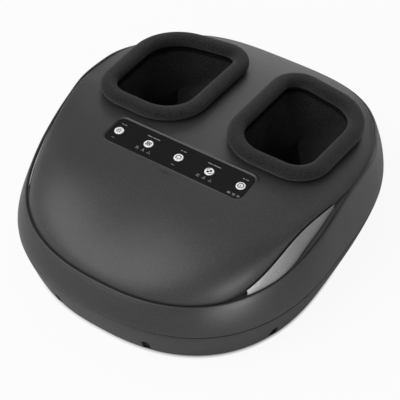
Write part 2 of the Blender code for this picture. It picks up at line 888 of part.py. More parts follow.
def opening_tool(side):
    """Prism that opens the cover over one foot."""
    line = cuff_line()
    rings = [
        offset_ring(line, -OPENING_LAND, side, z)
        for z in (CROWN_Z - OPENING_REACH, CROWN_Z + OVERRUN)
    ]
    return lofted("opening_tool", rings)


def panel_y():
    """Middle of the panel, set out from the toe side of the cuffs."""
    cuff = min(y for x, y in spots(CUFF_CORNER_SHARES)) - CUFF_WIDTH / 2
    return cuff - PANEL_LAND - PANEL_DEPTH / 2


def panel_frame():
    frame = bpy.data.objects.new("panel_frame", None)
    bpy.context.scene.collection.objects.link(frame)
    frame.location = (0, panel_y(), CROWN_Z - PANEL_SINK)
    frame.rotation_euler = (math.radians(PANEL_TILT_DEG), 0, 0)
    return frame


def panel_corners(margin):
    x = PANEL_WIDTH / 2 + margin
    y = PANEL_DEPTH / 2 + margin
    return ((-x, -y), (x, -y), (x, y), (-x, y))


def panel_ring(margin, z):
    radius = PANEL_RADIUS + margin
    line = even_outline(panel_corners(margin), radius, PANEL_ARC_STEPS)
    return [Vector((point.x, point.y, z)) for point, normal in line]


def key_xs():
    reach = PANEL_WIDTH / 2 - KEY_END_LAND
    return [reach * (2 * index / (KEY_SPOTS - 1) - 1) for index in range(KEY_SPOTS)]


def post_xs():
    xs = key_xs()
    return [(x + after) / 2 for x, after in zip(xs, xs[1:])]


def key_flange_z():
    """Underside of the cover's floor, against which the key flanges seat."""
    return -KEY_FLOOR_WALL


def board_top_z():
    nub = key_flange_z() - GAP - KEY_FLANGE_WALL - KEY_NUB
    return nub - GAP - KEY_TRAVEL - SWITCH_HEIGHT


def cover_recess(frame):
    top = PANEL_WALL + BEZEL_START
    flare = BEZEL_FLARE
    rings = [
        panel_ring(GAP, 0),
        panel_ring(GAP, PANEL_WALL),
        panel_ring(GAP + flare, top),
        panel_ring(GAP + 2 * flare, top + BEZEL_START),
    ]
    tool = lofted("cover_recess", rings)
    tool.parent = frame
    return tool


def cover_key_holes(frame):
    """Stepped holes from the recess's floor down through the cover, one to a key."""
    items = []
    reach = COVER_CROWN_WALL + OVERRUN
    for x in key_xs():
        hole = KEY_RADIUS + 2 * KEY_CLEARANCE
        wide = KEY_RADIUS + KEY_FLANGE + KEY_CLEARANCE
        profile = (
            (wide, -reach),
            (wide, key_flange_z()),
            (hole, key_flange_z()),
            (hole, PANEL_WALL / 2),
        )
        items.append(turned("key_hole", profile, KEY_SEGMENTS, x=x))
    tool = joined("cover_key_holes", items)
    tool.parent = frame
    return tool


def cover_posts(frame):
    items = []
    for x in post_xs():
        profile = ((BOARD_POST_RADIUS, board_top_z() + GAP), (BOARD_POST_RADIUS, -KEY_FLOOR_WALL))
        items.append(turned("post", profile, SCREW_SEGMENTS, x=x))
    tool = joined("cover_posts", items)
    tool.parent = frame
    return tool


def cover_rings(turns):
    outer = []
    for share in OUTER_RING_SHARES:
        outer.append([cover_point(turn, share) for turn in turns])
    skirt = []
    for point, turn in zip(outer[0], turns):
        seat = groove_z(station_y(turn)) - LEDGE_DROP + GAP
        skirt.append(Vector((point.x, point.y, seat)))
    inner = []
    for share in INNER_RING_SHARES:
        ring = []
        for turn in turns:
            point = cover_point(turn, share, COVER_WALL, COVER_CROWN_WALL)
            ring.append(point - Vector((0, 0, COVER_WALL * share)))
        inner.append(ring)
    inner_skirt = []
    for point, foot in zip(inner[0], skirt):
        inner_skirt.append(Vector((point.x, point.y, foot.z)))
    return outer, skirt, inner, inner_skirt


def build_cover(turns, frame):
    slot = material("cover_plastic", (0.055, 0.055, 0.058), 0.48)
    outer, skirt, inner, inner_skirt = cover_rings(turns)
    rings = list(reversed(outer)) + [skirt, inner_skirt] + inner
    bm = bmesh.new()
    rows = skin_rings(bm, rings)
    fan_cap(bm, rows[0], (0, WIDEST_Y, crown_z(WIDEST_Y)))
    fan_cap(bm, rows[-1], (0, WIDEST_Y, crown_z(WIDEST_Y) - COVER_CROWN_WALL))
    item = to_object("top_cover", bm, slot)
    boolean(item, cover_posts(frame), "UNION")
    openings = joined("cover_openings", [opening_tool(side) for side in (-1, 1)])
    boolean(item, openings, "DIFFERENCE")
    boolean(item, cover_recess(frame), "DIFFERENCE")
    boolean(item, cover_key_holes(frame), "DIFFERENCE")


def trim_section(y):
    """Points across one trim at a station, from the cover's edge to the pocket."""
    start = BITE_TOE_SHARE * HOUSING_DEPTH + TRIM_TOE_LAND + TRIM_POCKET_START
    pocket = TRIM_POCKET * smoothstep((y - start) / TRIM_POCKET_RUN)
    inner = cover_inset(y) + BITE_DEPTH * bump(y) - TRIM_MARGIN
    outer = lip_inset(y) + TRIM_MARGIN + pocket
    middle = (inner + outer) / 2
    seat = groove_z(y) - LEDGE_DROP + GAP
    high = cover_edge_z(y) - TRIM_SINK
    low = groove_z(y) - TRIM_SINK - LIP_WALL
    crown = (high + low) / 2 + TRIM_CROWN * min((inner - outer) / TRIM_POCKET, 1.0)
    return ((outer, seat), (outer, low), (middle, crown), (inner, high), (inner, seat))


def trim_turns(turns):
    """The outline's own turns between the trim's ends, so that both bend together."""
    low = turn_at(BITE_TOE_SHARE * HOUSING_DEPTH + TRIM_TOE_LAND, STATION_INSET)
    high = turn_at(BITE_BACK_SHARE * HOUSING_DEPTH - TRIM_BACK_LAND, STATION_INSET)
    between = [turn for turn in turns if low < turn < high]
    return [low] + between + [high]


def build_trim(name, side, slot, turns):
    rings = []
    for turn in trim_turns(turns):
        y = station_y(turn)
        ring = []
        for inset, z in trim_section(y):
            x, station = plan_point(turn, inset)
            ring.append(Vector((side * x, station, z)))
        rings.append(ring)
    lofted(name, rings, slot)


def cuff_section(point, normal, side, level):
    """Ring of points across the puffy rim at one station of its centreline."""
    ring = []
    for step in range(CUFF_TOP_STEPS + 1):
        turn = math.pi * step / CUFF_TOP_STEPS
        lean = math.cos(turn)
        across = CUFF_WIDTH / 2 * math.copysign(abs(lean) ** CUFF_SIDE_SHARE, lean)
        spot = point + normal * across
        z = level + CUFF_RISE * math.sin(turn) ** CUFF_ROUND_SHARE
        floor = cover_z(spot.x, spot.y) + CUFF_SEAT
        ring.append(Vector((side * spot.x, spot.y, max(z, floor + GAP))))
    for step in range(CUFF_SEAT_STEPS + 1):
        across = CUFF_SEAM_WIDTH / 2 * (2 * step / CUFF_SEAT_STEPS - 1)
        spot = point + normal * across
        ring.append(Vector((side * spot.x, spot.y, cover_z(spot.x, spot.y) + CUFF_SEAT)))
    return ring


def cuff_level(y):
    """Height of the rim's widest line, a flat slope that follows the crown."""
    return crown_z(y) + CUFF_LEVEL


def build_cuff(name, side, slot):
    rings = []
    for point, normal in cuff_line():
        rings.append(cuff_section(point, normal, side, cuff_level(point.y)))
    lofted(name, rings, slot, loop=True)


def outline_at(line, centre, turn):
    """Where a ray from the centre meets a closed outline."""
    aim = Vector((math.cos(turn), math.sin(turn)))
    best = centre
    for (first, skip), (second, other) in zip(line, line[1:] + line[:1]):
        edge = second - first
        cross = aim.x * edge.y - aim.y * edge.x
        if abs(cross) < PARALLEL_SHARE:
            continue
        start = first - centre
        reach = (start.x * edge.y - start.y * edge.x) / cross
        part = (start.x * aim.y - start.y * aim.x) / cross
        if reach > 0 and -HIT_SHARE <= part <= 1 + HIT_SHARE:
            best = centre + aim * reach
    return best


def well_x():
    return WELL_SHARE * HOUSING_WIDTH


def sock_point(along, up):
    """Point of the sock's side view: a share of the depth and one of the height over its floor."""
    return Vector((along * HOUSING_DEPTH, LINER_FLOOR_Z + up * (CROWN_Z - LINER_FLOOR_Z)))


def liner_ring(back, front, half, side):
    """Squared ring across the sock between its back line and its front line."""
    ring = []
    power = 2 / LINER_SQUARE_SHARE
    for index in range(LINER_COUNT):
        turn = math.tau * index / LINER_COUNT
        across = math.copysign(abs(math.cos(turn)) ** power, math.cos(turn))
        along = math.copysign(abs(math.sin(turn)) ** power, math.sin(turn))
        middle = (back + front) / 2
        spot = middle + (back - front) / 2 * along
        ring.append(Vector((side * (well_x() + half * across), spot.x, spot.y)))
    return ring


def liner_mouth(side, drop):
    line = [(point - normal * LINER_MARGIN, normal) for point, normal in cuff_line()]
    centre = sum((point for point, normal in line), Vector((0, 0))) / len(line)
    ring = []
    for index in range(LINER_COUNT):
        turn = math.tau * index / LINER_COUNT
        along = math.copysign(abs(math.sin(turn)) ** LINER_MOUTH_SHARE, math.sin(turn))
        across = math.copysign(abs(math.cos(turn)) ** LINER_MOUTH_SHARE, math.cos(turn))
        spot = outline_at(line, centre, math.atan2(along, across))
        z = cover_z(spot.x, spot.y) - drop
        ring.append(Vector((side * spot.x, spot.y, z)))
    return ring


def build_liner(name, side, slot):
    rings = [liner_mouth(side, 0.0), liner_mouth(side, COVER_CROWN_WALL + COVER_WALL)]
    count = len(LINER_STATION_SHARES)
    for index, (back_y, back_z, front_y, front_z) in enumerate(LINER_STATION_SHARES):
        share = smoothstep((index + 1) / count)
        half = LINER_HALF_SHARE + (LINER_TOE_HALF_SHARE - LINER_HALF_SHARE) * share
        back = sock_point(back_y, back_z)
        front = sock_point(front_y, front_z)
        rings.append(liner_ring(back, front, half * HOUSING_WIDTH, side))
    bm = bmesh.new()
    rows = skin_rings(bm, rings)
    tip = sock_point(*LINER_TOE_SHARES)
    fan_cap(bm, rows[-1], (side * well_x(), tip.x, tip.y))
    item = to_object(name, bm, slot)
    shell = item.modifiers.new("wall", "SOLIDIFY")
    shell.thickness = LINER_WALL
    shell.offset = -1
    shell.use_even_offset = True
    return item


def tub_line():
    corners = spots(TUB_CORNER_SHARES)
    return even_outline(corners, TUB_CORNER_RADIUS, TUB_ARC_STEPS, TUB_SIDE_STEPS)


def tub_top(x, y):
    return cover_z(x, y) - COVER_CROWN_WALL - COVER_WALL - TUB_HEADROOM


def build_tub(name, side, slot):
    line = tub_line()
    floor = TUB_FLOOR_Z + TUB_WALL
    rings = [
        offset_ring(line, -TUB_DRAFT, side, TUB_FLOOR_Z),
        offset_ring(line, 0, side, tub_top),
        offset_ring(line, -TUB_WALL, side, tub_top),
        offset_ring(line, -TUB_DRAFT - TUB_WALL, side, floor),
    ]
    item = lofted(name, rings, slot, smooth=True)
    legs = []
    for x, y in spots(TUB_LEG_SHARES):
        foot = BASE_BOTTOM_Z + BASE_FLOOR_WALL + GAP
        profile = ((TUB_LEG_RADIUS, foot), (TUB_LEG_RADIUS, TUB_FLOOR_Z + TUB_WALL / 2))
        legs.append(turned("leg", profile, SCREW_SEGMENTS, x=side * x, y=y))
    boolean(item, joined(name + "_legs", legs), "UNION")
    windows = []
    for y in (toe_kneader_y(), heel_kneader_y()):
        radius = head_radius() + TUB_WINDOW_CLEARANCE
        profile = ((radius, TUB_FLOOR_Z - OVERRUN), (radius, floor + OVERRUN))
        windows.append(turned("window", profile, HEAD_SEGMENTS, x=side * kneader_x(), y=y))
    boolean(item, joined(name + "_windows", windows), "DIFFERENCE")


def build_panel(frame):
    slot = material("panel_gloss", (0.012, 0.012, 0.014), 0.12)
    rings = [panel_ring(0, GAP), panel_ring(0, PANEL_WALL + GAP)]
    item = lofted("control_panel", rings, slot, smooth=False)
    item.parent = frame
    holes = []
    for x in key_xs():
        radius = KEY_RADIUS + KEY_CLEARANCE
        profile = ((radius, -OVERRUN), (radius, PANEL_WALL + OVERRUN))
        holes.append(turned("hole", profile, KEY_SEGMENTS, x=x))
    tool = joined("panel_holes", holes)
    tool.parent = frame
    boolean(item, tool, "DIFFERENCE")


def build_keys(frame):
    names = ("key_heat", "key_air", "key_power", "key_knead", "key_timer")
    slot = material("key_white", (0.82, 0.82, 0.82), 0.4)
    top = GAP + PANEL_WALL + KEY_PROUD
    flange_top = key_flange_z() - GAP
    flange_low = flange_top - KEY_FLANGE_WALL
    profile = (
        (KEY_NUB_RADIUS, flange_low - KEY_NUB),
        (KEY_NUB_RADIUS, flange_low),
        (KEY_RADIUS + KEY_FLANGE, flange_low),
        (KEY_RADIUS + KEY_FLANGE, flange_top),
        (KEY_RADIUS, flange_top),
        (KEY_RADIUS, top - KEY_CROWN),
        (KEY_RADIUS - KEY_CROWN, top),
    )
    for name, x in zip(names, key_xs()):
        item = turned(name, profile, KEY_SEGMENTS, slot)
        item.parent = frame
        item.location = (x, 0, 0)


def build_control_board(frame):
    slot = material("board_green", (0.02, 0.11, 0.05), 0.5)
    width = PANEL_WIDTH - BOARD_MARGIN
    depth = PANEL_DEPTH - BOARD_MARGIN
    low = board_top_z() - BOARD_WALL
    item = block("control_board", (width, depth, BOARD_WALL), (0, 0, low + BOARD_WALL / 2), slot)
    item.parent = frame
    switches = []
    for x in key_xs():
        size = (SWITCH_SIZE, SWITCH_SIZE, SWITCH_HEIGHT + BOARD_WALL / 2)
        centre = board_top_z() + SWITCH_HEIGHT - size[2] / 2
        switches.append(block("switch", size, (x, 0, centre)))
    tool = joined("board_switches", switches)
    tool.parent = frame
    boolean(item, tool, "UNION")


def kneader_x():
    return well_x() + KNEADER_OFFSET


def gear_module():
    """Module with which the pinion, an idler and a kneader's gear span half the width."""
    return kneader_x() / (PINION_TEETH / 2 + IDLER_TEETH + KNEADER_TEETH / 2)


def pitch_radius(teeth):
    return gear_module() * teeth / 2


def idler_x():
    return pitch_radius(PINION_TEETH) + pitch_radius(IDLER_TEETH)


def toe_kneader_y():
    return TOE_KNEADER_SHARE * HOUSING_DEPTH


def heel_kneader_y():
    return toe_kneader_y() + 2 * pitch_radius(KNEADER_TEETH)


def head_radius():
    return pitch_radius(KNEADER_TEETH) - HEAD_CLEARANCE


def involute(angle):
    return math.tan(angle) - angle


def tooth_half_angle(teeth, radius):
    """Half the angle that a tooth covers at a radius, on its involute."""
    pressure = math.radians(GEAR_PRESSURE_DEG)
    pitch = pitch_radius(teeth)
    base = pitch * math.cos(pressure)
    at_radius = math.acos(min(base / radius, 1.0))
    slack = GEAR_BACKLASH / 2 / pitch
    return math.pi / (2 * teeth) - slack + involute(pressure) - involute(at_radius)


def gear_outline(teeth, phase):
    """Four points to a tooth, at its root and at its tip."""
    tip = pitch_radius(teeth) + gear_module() * ADDENDUM_SHARE
    root = pitch_radius(teeth) - gear_module() * DEDENDUM_SHARE
    at_tip = tooth_half_angle(teeth, tip)
    at_root = tooth_half_angle(teeth, root)
    points = []
    for index in range(teeth):
        middle = phase + math.tau * index / teeth
        spots = ((root, -at_root), (tip, -at_tip), (tip, at_tip), (root, at_root))
        for radius, offset in spots:
            points.append((radius * math.cos(middle + offset), radius * math.sin(middle + offset)))
    return points


def meshed_phase(teeth, other_teeth, other_phase, towards):
    """Phase that sets a gap of this gear on a tooth of the other at the line of centres."""
    held = (towards - other_phase) * other_teeth
    return towards + math.pi - (math.pi - held) / teeth


def gear(name, teeth, phase, x, y, slot, bore=AXLE_RADIUS + GAP):
    outline = gear_outline(teeth, phase)
    rings = [
        [Vector((px, py, GEAR_Z + lift)) for px, py in outline] for lift in (0, GEAR_FACE)
    ]
    item = lofted(name, rings, slot, smooth=False)
    item.location = (x, y, 0)
    if bore:
        low = GEAR_Z - OVERRUN
        high = GEAR_Z + GEAR_FACE + OVERRUN
        tool = turned(name + "_bore", ((bore, low), (bore, high)), BORE_SEGMENTS)
        tool.location = (x, y, 0)
        boolean(item, tool, "DIFFERENCE")
    return item


def build_pinion(slot):
    item = gear("drive_pinion", PINION_TEETH, 0.0, 0, toe_kneader_y(), slot, bore=0)
    top = BRIDGE_Z + BRIDGE_WALL + MOTOR_BOSS_HEIGHT
    overlap = GEAR_FACE / 2
    profile = (
        (JOURNAL_RADIUS, PLATE_Z + PLATE_WALL + GAP),
        (JOURNAL_RADIUS, GEAR_Z + overlap),
        (JOURNAL_RADIUS, top),
    )
    tool = turned("pinion_journal", profile, BORE_SEGMENTS)
    tool.location = item.location
    boolean(item, tool, "UNION")


def build_gears():
    slot = material("gear_pom", (0.72, 0.7, 0.64), 0.45)
    build_pinion(material("pinion_steel", (0.5, 0.5, 0.52), 0.35, 1.0))
    sides = (("left", -1, math.pi), ("right", 1, 0.0))
    for word, side, towards in sides:
        idler = meshed_phase(IDLER_TEETH, PINION_TEETH, 0.0, towards)
        gear("idler_gear_" + word, IDLER_TEETH, idler, side * idler_x(), toe_kneader_y(), slot)
        toe = meshed_phase(KNEADER_TEETH, IDLER_TEETH, idler, towards)
        x = side * kneader_x()
        gear("kneader_gear_toe_" + word, KNEADER_TEETH, toe, x, toe_kneader_y(), slot)
        heel = meshed_phase(KNEADER_TEETH, KNEADER_TEETH, toe, math.pi / 2)
        gear("kneader_gear_heel_" + word, KNEADER_TEETH, heel, x, heel_kneader_y(), slot)


def head_base_z():
    return GEAR_Z + GEAR_FACE + GAP


def node_dome(angle):
    """Rounded massage node standing on the head's disc."""
    low = head_base_z() + HEAD_STAND + HEAD_WALL / 2
    high = head_base_z() + HEAD_STAND + HEAD_WALL
    orbit = head_radius() - NODE_RADIUS - NODE_RIM
    x = orbit * math.cos(angle)
    y = orbit * math.sin(angle)
    rings = [circle(NODE_RADIUS, low, NODE_SEGMENTS, x, y)]
    for step in range(NODE_RINGS):
        lean = math.pi / 2 * step / NODE_RINGS
        radius = NODE_RADIUS * math.cos(lean)
        rings.append(circle(radius, high + NODE_RISE * math.sin(lean), NODE_SEGMENTS, x, y))
    bm = bmesh.new()
    rows = skin_rings(bm, rings)
    bm.faces.new(rows[0])
    fan_cap(bm, rows[-1], (x, y, high + NODE_RISE))
    return to_object("node", bm)


def build_head(name, x, y, phase, slot):
    low = head_base_z()
    disc = low + HEAD_STAND
    bore = AXLE_RADIUS + GAP
    profile = (
        (bore, low),
        (HEAD_HUB_RADIUS, low),
        (HEAD_HUB_RADIUS, disc),
        (head_radius(), disc),
        (head_radius(), disc + HEAD_WALL),
    )
    rings = [circle(radius, z, HEAD_SEGMENTS) for radius, z in profile]
    bm = bmesh.new()
    rows = skin_rings(bm, rings)
    fan_cap(bm, rows[-1], (0, 0, disc + HEAD_WALL))
    roof = [bm.verts.new(point) for point in circle(bore, disc + GAP, HEAD_SEGMENTS)]
    for index in range(HEAD_SEGMENTS):
        after = (index + 1) % HEAD_SEGMENTS
        bm.faces.new((rows[0][index], rows[0][after], roof[after], roof[index]))
    bm.faces.new(roof)
    item = to_object(name, bm, slot)
    item.location = (x, y, 0)
    turns = [phase + math.tau * index / NODE_SPOTS for index in range(NODE_SPOTS)]
    tool = joined(name + "_nodes", [node_dome(turn) for turn in turns])
    tool.location = (x, y, 0)
    boolean(item, tool, "UNION")


def build_heads():
    slot = material("head_plastic", (0.2, 0.2, 0.22), 0.4)
    for word, side in (("left", -1), ("right", 1)):
        x = side * kneader_x()
        build_head("kneader_head_toe_" + word, x, toe_kneader_y(), math.pi / 2, slot)
        build_head("kneader_head_heel_" + word, x, heel_kneader_y(), -math.pi / 2, slot)


def axle_spots():
    spots = []
    for word, side in (("left", -1), ("right", 1)):
        spots.append(("axle_idler_" + word, side * idler_x(), toe_kneader_y(), 0.0))
        spots.append(("axle_toe_" + word, side * kneader_x(), toe_kneader_y(), AXLE_REACH))
        spots.append(("axle_heel_" + word, side * kneader_x(), heel_kneader_y(), AXLE_REACH))
    return spots


def build_axles():
    slot = material("axle_steel", (0.55, 0.55, 0.57), 0.3, 1.0)
    seat = PLATE_Z + PLATE_WALL + GAP
    for name, x, y, reach in axle_spots():
        profile = (
            (AXLE_SPIGOT_RADIUS, PLATE_Z + GAP),
            (AXLE_SPIGOT_RADIUS, seat),
            (AXLE_FLANGE_RADIUS, seat),
            (AXLE_FLANGE_RADIUS, GEAR_Z - GAP),
            (AXLE_RADIUS, GEAR_Z - GAP),
            (AXLE_RADIUS, GEAR_Z + GEAR_FACE + reach),
        )
        turned(name, profile, BORE_SEGMENTS, slot, x=x, y=y)


def build_gear_plate():
    slot = material("plate_steel", (0.42, 0.43, 0.45), 0.45, 1.0)
    x = kneader_x() + pitch_radius(KNEADER_TEETH) + PLATE_MARGIN
    low = toe_kneader_y() - pitch_radius(KNEADER_TEETH) - PLATE_MARGIN
    high = plate_back_y()
    corners = ((-x, low), (x, low), (x, high), (-x, high))
    line = even_outline(corners, PLATE_RADIUS, PLATE_ARC_STEPS)
    rings = [offset_ring(line, 0, 1, z) for z in (PLATE_Z, PLATE_Z + PLATE_WALL)]
    item = lofted("gear_plate", rings, slot, smooth=False)
    holes = []
    for name, px, py, reach in axle_spots():
        radius = AXLE_SPIGOT_RADIUS + GAP
        profile = ((radius, PLATE_Z - OVERRUN), (radius, PLATE_Z + PLATE_WALL + OVERRUN))
        holes.append(turned("hole", profile, BORE_SEGMENTS, x=px, y=py))
    boolean(item, joined("plate_holes", holes), "DIFFERENCE")


def build_bridge():
    slot = material("bridge_steel", (0.45, 0.46, 0.48), 0.45, 1.0)
    foot = PLATE_Z + PLATE_WALL + GAP
    half = BRIDGE_SPAN / 2
    wall = BRIDGE_WALL
    top = BRIDGE_Z + wall
    foot_run = BRIDGE_FOOT
    profile = (
        (-half - foot_run, foot),
        (-half + wall, foot),
        (-half + wall, BRIDGE_Z),
        (half - wall, BRIDGE_Z),
        (half - wall, foot),
        (half + foot_run, foot),
        (half + foot_run, foot + wall),
        (half, foot + wall),
        (half, top),
        (-half, top),
        (-half, foot + wall),
        (-half - foot_run, foot + wall),
    )
    rings = []
    for x in (-BRIDGE_WIDTH / 2, BRIDGE_WIDTH / 2):
        rings.append([Vector((x, toe_kneader_y() + y, z)) for y, z in profile])
    item = lofted("motor_bridge", rings, slot, smooth=False)
    radius = MOTOR_BOSS_RADIUS + GAP
    hole = ((radius, BRIDGE_Z - OVERRUN), (radius, top + OVERRUN))
    tool = turned("bridge_hole", hole, MOTOR_SEGMENTS, x=0, y=toe_kneader_y())
    boolean(item, tool, "DIFFERENCE")


def build_motor():
    slot = material("motor_zinc", (0.5, 0.5, 0.52), 0.4, 1.0)
    seat = BRIDGE_Z + BRIDGE_WALL + GAP
    roof = seat + GEARBOX_HEIGHT
    top = roof + MOTOR_HEIGHT
    low = BRIDGE_Z
    bore = JOURNAL_RADIUS + JOURNAL_CLEARANCE
    deep = BRIDGE_Z + BRIDGE_WALL + MOTOR_BOSS_HEIGHT + JOURNAL_CLEARANCE
    edge = EDGE_CHAMFER
    profile = (
        (bore, low),
        (MOTOR_BOSS_RADIUS, low),
        (MOTOR_BOSS_RADIUS, seat),
        (GEARBOX_RADIUS, seat),
        (GEARBOX_RADIUS, roof - edge),
        (GEARBOX_RADIUS - edge, roof),
        (MOTOR_RADIUS, roof),
        (MOTOR_RADIUS, top - edge),
        (MOTOR_RADIUS - edge, top),
    )
    rings = [circle(r, z, MOTOR_SEGMENTS, 0, toe_kneader_y()) for r, z in profile]
    bm = bmesh.new()
    rows = skin_rings(bm, rings)
    bm.faces.new(rows[-1])
    roof_row = [bm.verts.new(p) for p in circle(bore, deep, MOTOR_SEGMENTS, 0, toe_kneader_y())]
    for index in range(MOTOR_SEGMENTS):
        after = (index + 1) % MOTOR_SEGMENTS
        bm.faces.new((rows[0][index], rows[0][after], roof_row[after], roof_row[index]))
    bm.faces.new(roof_row)
    to_object("gear_motor", bm, slot)


def aisle_floor_z():
    return BASE_BOTTOM_Z + BASE_FLOOR_WALL + GAP


def plate_back_y():
    return heel_kneader_y() + pitch_radius(KNEADER_TEETH) + PLATE_MARGIN


def aisle_lands():
    """Free runs before the pump, the valve and the power board, behind the gear plate."""
    back = inlet_face_y() - INLET_LENGTH
    room = back - plate_back_y() - PUMP_LENGTH - VALVE_LENGTH
    return [share * room for share in AISLE_SHARES]


def pump_y():
    return plate_back_y() + aisle_lands()[0] + PUMP_LENGTH / 2


def valve_y():
    return pump_y() + PUMP_LENGTH / 2 + aisle_lands()[1] + VALVE_LENGTH / 2


def board_box_y():
    return valve_y() + VALVE_LENGTH / 2 + aisle_lands()[2]


def heater_y():
    window = heel_kneader_y() + head_radius() + TUB_WINDOW_CLEARANCE
    return window + HEATER_LAND + HEATER_LENGTH / 2


def build_pump():
    slot = material("pump_plastic", (0.07, 0.07, 0.08), 0.55)
    low = aisle_floor_z()
    size = (PUMP_WIDTH, PUMP_LENGTH, PUMP_HEIGHT)
    item = block("air_pump", size, (0, pump_y(), low + PUMP_HEIGHT / 2), slot)
    edge = item.modifiers.new("edges", "BEVEL")
    edge.width = EDGE_CHAMFER
    edge.segments = 1
    top = low + PUMP_HEIGHT
    head = (
        (PUMP_HEAD_RADIUS, top - EDGE_CHAMFER - GAP),
        (PUMP_HEAD_RADIUS, top + PUMP_HEAD_HEIGHT),
        (PUMP_PORT_RADIUS, top + PUMP_HEAD_HEIGHT),
        (PUMP_PORT_RADIUS, top + PUMP_HEAD_HEIGHT + PUMP_PORT_LENGTH),
    )
    boolean(item, turned("pump_head", head, KEY_SEGMENTS, x=0, y=pump_y()), "UNION")


def valve_top():
    return aisle_floor_z() + VALVE_HEIGHT + PUMP_PORT_LENGTH


def build_valve():
    slot = material("valve_plastic", (0.6, 0.6, 0.58), 0.5)
    low = aisle_floor_z()
    size = (VALVE_WIDTH, VALVE_LENGTH, VALVE_HEIGHT)
    item = block("air_valve", size, (0, valve_y(), low + VALVE_HEIGHT / 2), slot)
    port = ((PUMP_PORT_RADIUS, low + VALVE_HEIGHT / 2), (PUMP_PORT_RADIUS, valve_top()))
    boolean(item, turned("valve_port", port, BORE_SEGMENTS, x=0, y=valve_y()), "UNION")


def hose_points():
    """Smooth arch from the pump's port to the valve's port."""
    start = Vector((0, pump_y(), aisle_floor_z() + PUMP_HEIGHT + PUMP_HEAD_HEIGHT))
    start.z += PUMP_PORT_LENGTH + GAP
    end = Vector((0, valve_y(), valve_top() + GAP))
    rise = Vector((0, 0, HOSE_RISE))
    points = []
    for index in range(HOSE_POINTS + 1):
        t = index / HOSE_POINTS
        points.append(
            start * (1 - t) ** 3
            + (start + rise) * 3 * t * (1 - t) ** 2
            + (end + rise * 2) * 3 * t**2 * (1 - t)
            + end * t**3
        )
    return points


def build_hose():
    slot = material("hose_rubber", (0.35, 0.36, 0.37), 0.5)
    curve = bpy.data.curves.new("air_hose", "CURVE")
    curve.dimensions = "3D"
    curve.bevel_depth = HOSE_RADIUS
    curve.bevel_resolution = 2
    curve.use_fill_caps = True
    points = hose_points()
    spline = curve.splines.new("POLY")
    spline.points.add(len(points) - 1)
    for target, point in zip(spline.points, points):
        target.co = (*point, 1.0)
    curve.materials.append(slot)
    item = bpy.data.objects.new("air_hose", curve)
    bpy.context.scene.collection.objects.link(item)


def build_power_board():
    slot = material("power_board_green", (0.02, 0.1, 0.05), 0.5)
    low = aisle_floor_z()
    size = (BOARD_BOX_WIDTH, BOARD_WALL, BOARD_BOX_HEIGHT)
    item = block("power_board", size, (0, board_box_y(), low + BOARD_BOX_HEIGHT / 2), slot)
    chip = (CHIP_WIDTH, CHIP_WALL + BOARD_WALL / 2, CHIP_WIDTH)
    y = board_box_y() - chip[1] / 2
    tool = block("power_chip", chip, (0, y, low + BOARD_BOX_HEIGHT / 2))
    boolean(item, tool, "UNION")


def inlet_face_y():
    """Outside of the base's back wall at the inlet's height."""
    return plan_point(math.pi, base_side_inset(INLET_Z))[1]


def inlet_tool(name, rings):
    bm = bmesh.new()
    rows = skin_rings(bm, rings)
    bm.faces.new(rows[0])
    bm.faces.new(rows[-1])
    return to_object(name, bm)


def ring_along_y(radius, y):
    points = []
    for index in range(KEY_SEGMENTS):
        turn = math.tau * index / KEY_SEGMENTS
        points.append(Vector((radius * math.cos(turn), y, INLET_Z + radius * math.sin(turn))))
    return points


def inlet_hole():
    radius = INLET_RADIUS + GAP
    low = inlet_face_y() - BASE_TAPER
    high = inlet_face_y() + OVERRUN
    return inlet_tool("inlet_hole", [ring_along_y(radius, low), ring_along_y(radius, high)])


def build_inlet():
    slot = material("inlet_plastic", (0.03, 0.03, 0.03), 0.4)
    lean = base_side_inset(INLET_Z - INLET_FLANGE_RADIUS) - base_side_inset(INLET_Z)
    face = inlet_face_y() + lean + GAP
    profile = (
        (INLET_BORE_RADIUS, face + INLET_FLANGE_WALL),
        (INLET_FLANGE_RADIUS, face + INLET_FLANGE_WALL),
        (INLET_FLANGE_RADIUS, face),
        (INLET_RADIUS, face),
        (INLET_RADIUS, face - INLET_LENGTH),
    )
    bm = bmesh.new()
    rows = skin_rings(bm, [ring_along_y(radius, y) for radius, y in profile])
    bm.faces.new(rows[-1])
    deep = face - INLET_LENGTH + INLET_FLANGE_WALL
    floor = [bm.verts.new(point) for point in ring_along_y(INLET_BORE_RADIUS, deep)]
    for index in range(KEY_SEGMENTS):
        after = (index + 1) % KEY_SEGMENTS
        bm.faces.new((rows[0][index], rows[0][after], floor[after], floor[index]))
    bm.faces.new(floor)
    to_object("dc_inlet", bm, slot)


def build_heater(name, side, slot):
    low = TUB_FLOOR_Z + TUB_WALL + GAP
    x = HEATER_WIDTH / 2
    y = HEATER_LENGTH / 2
    corners = ((-x, -y), (x, -y), (x, y), (-x, y))
    line = even_outline(corners, HEATER_RADIUS, HEATER_ARC_STEPS)
    rings = []
    for z in (low, low + HEATER_WALL):
        rings.append([Vector((side * kneader_x() + p.x, heater_y() + p.y, z)) for p, n in line])
    lofted(name, rings, slot, smooth=False)


def bag_point(side, across, along, lift):
    """Point of an instep air bag lying on the liner's roof."""
    back = sock_point(*LINER_STATION_SHARES[3][2:])
    front = sock_point(*LINER_STATION_SHARES[6][2:])
    axis = (front - back).normalized()
    normal = Vector((-axis.y, axis.x))
    if normal.y < 0:
        normal = -normal
    middle = (back + front) / 2
    spot = middle + axis * along + normal * (BAG_RISE + LINER_WALL * 2 + lift)
    return Vector((side * well_x() + across, spot.x, spot.y))


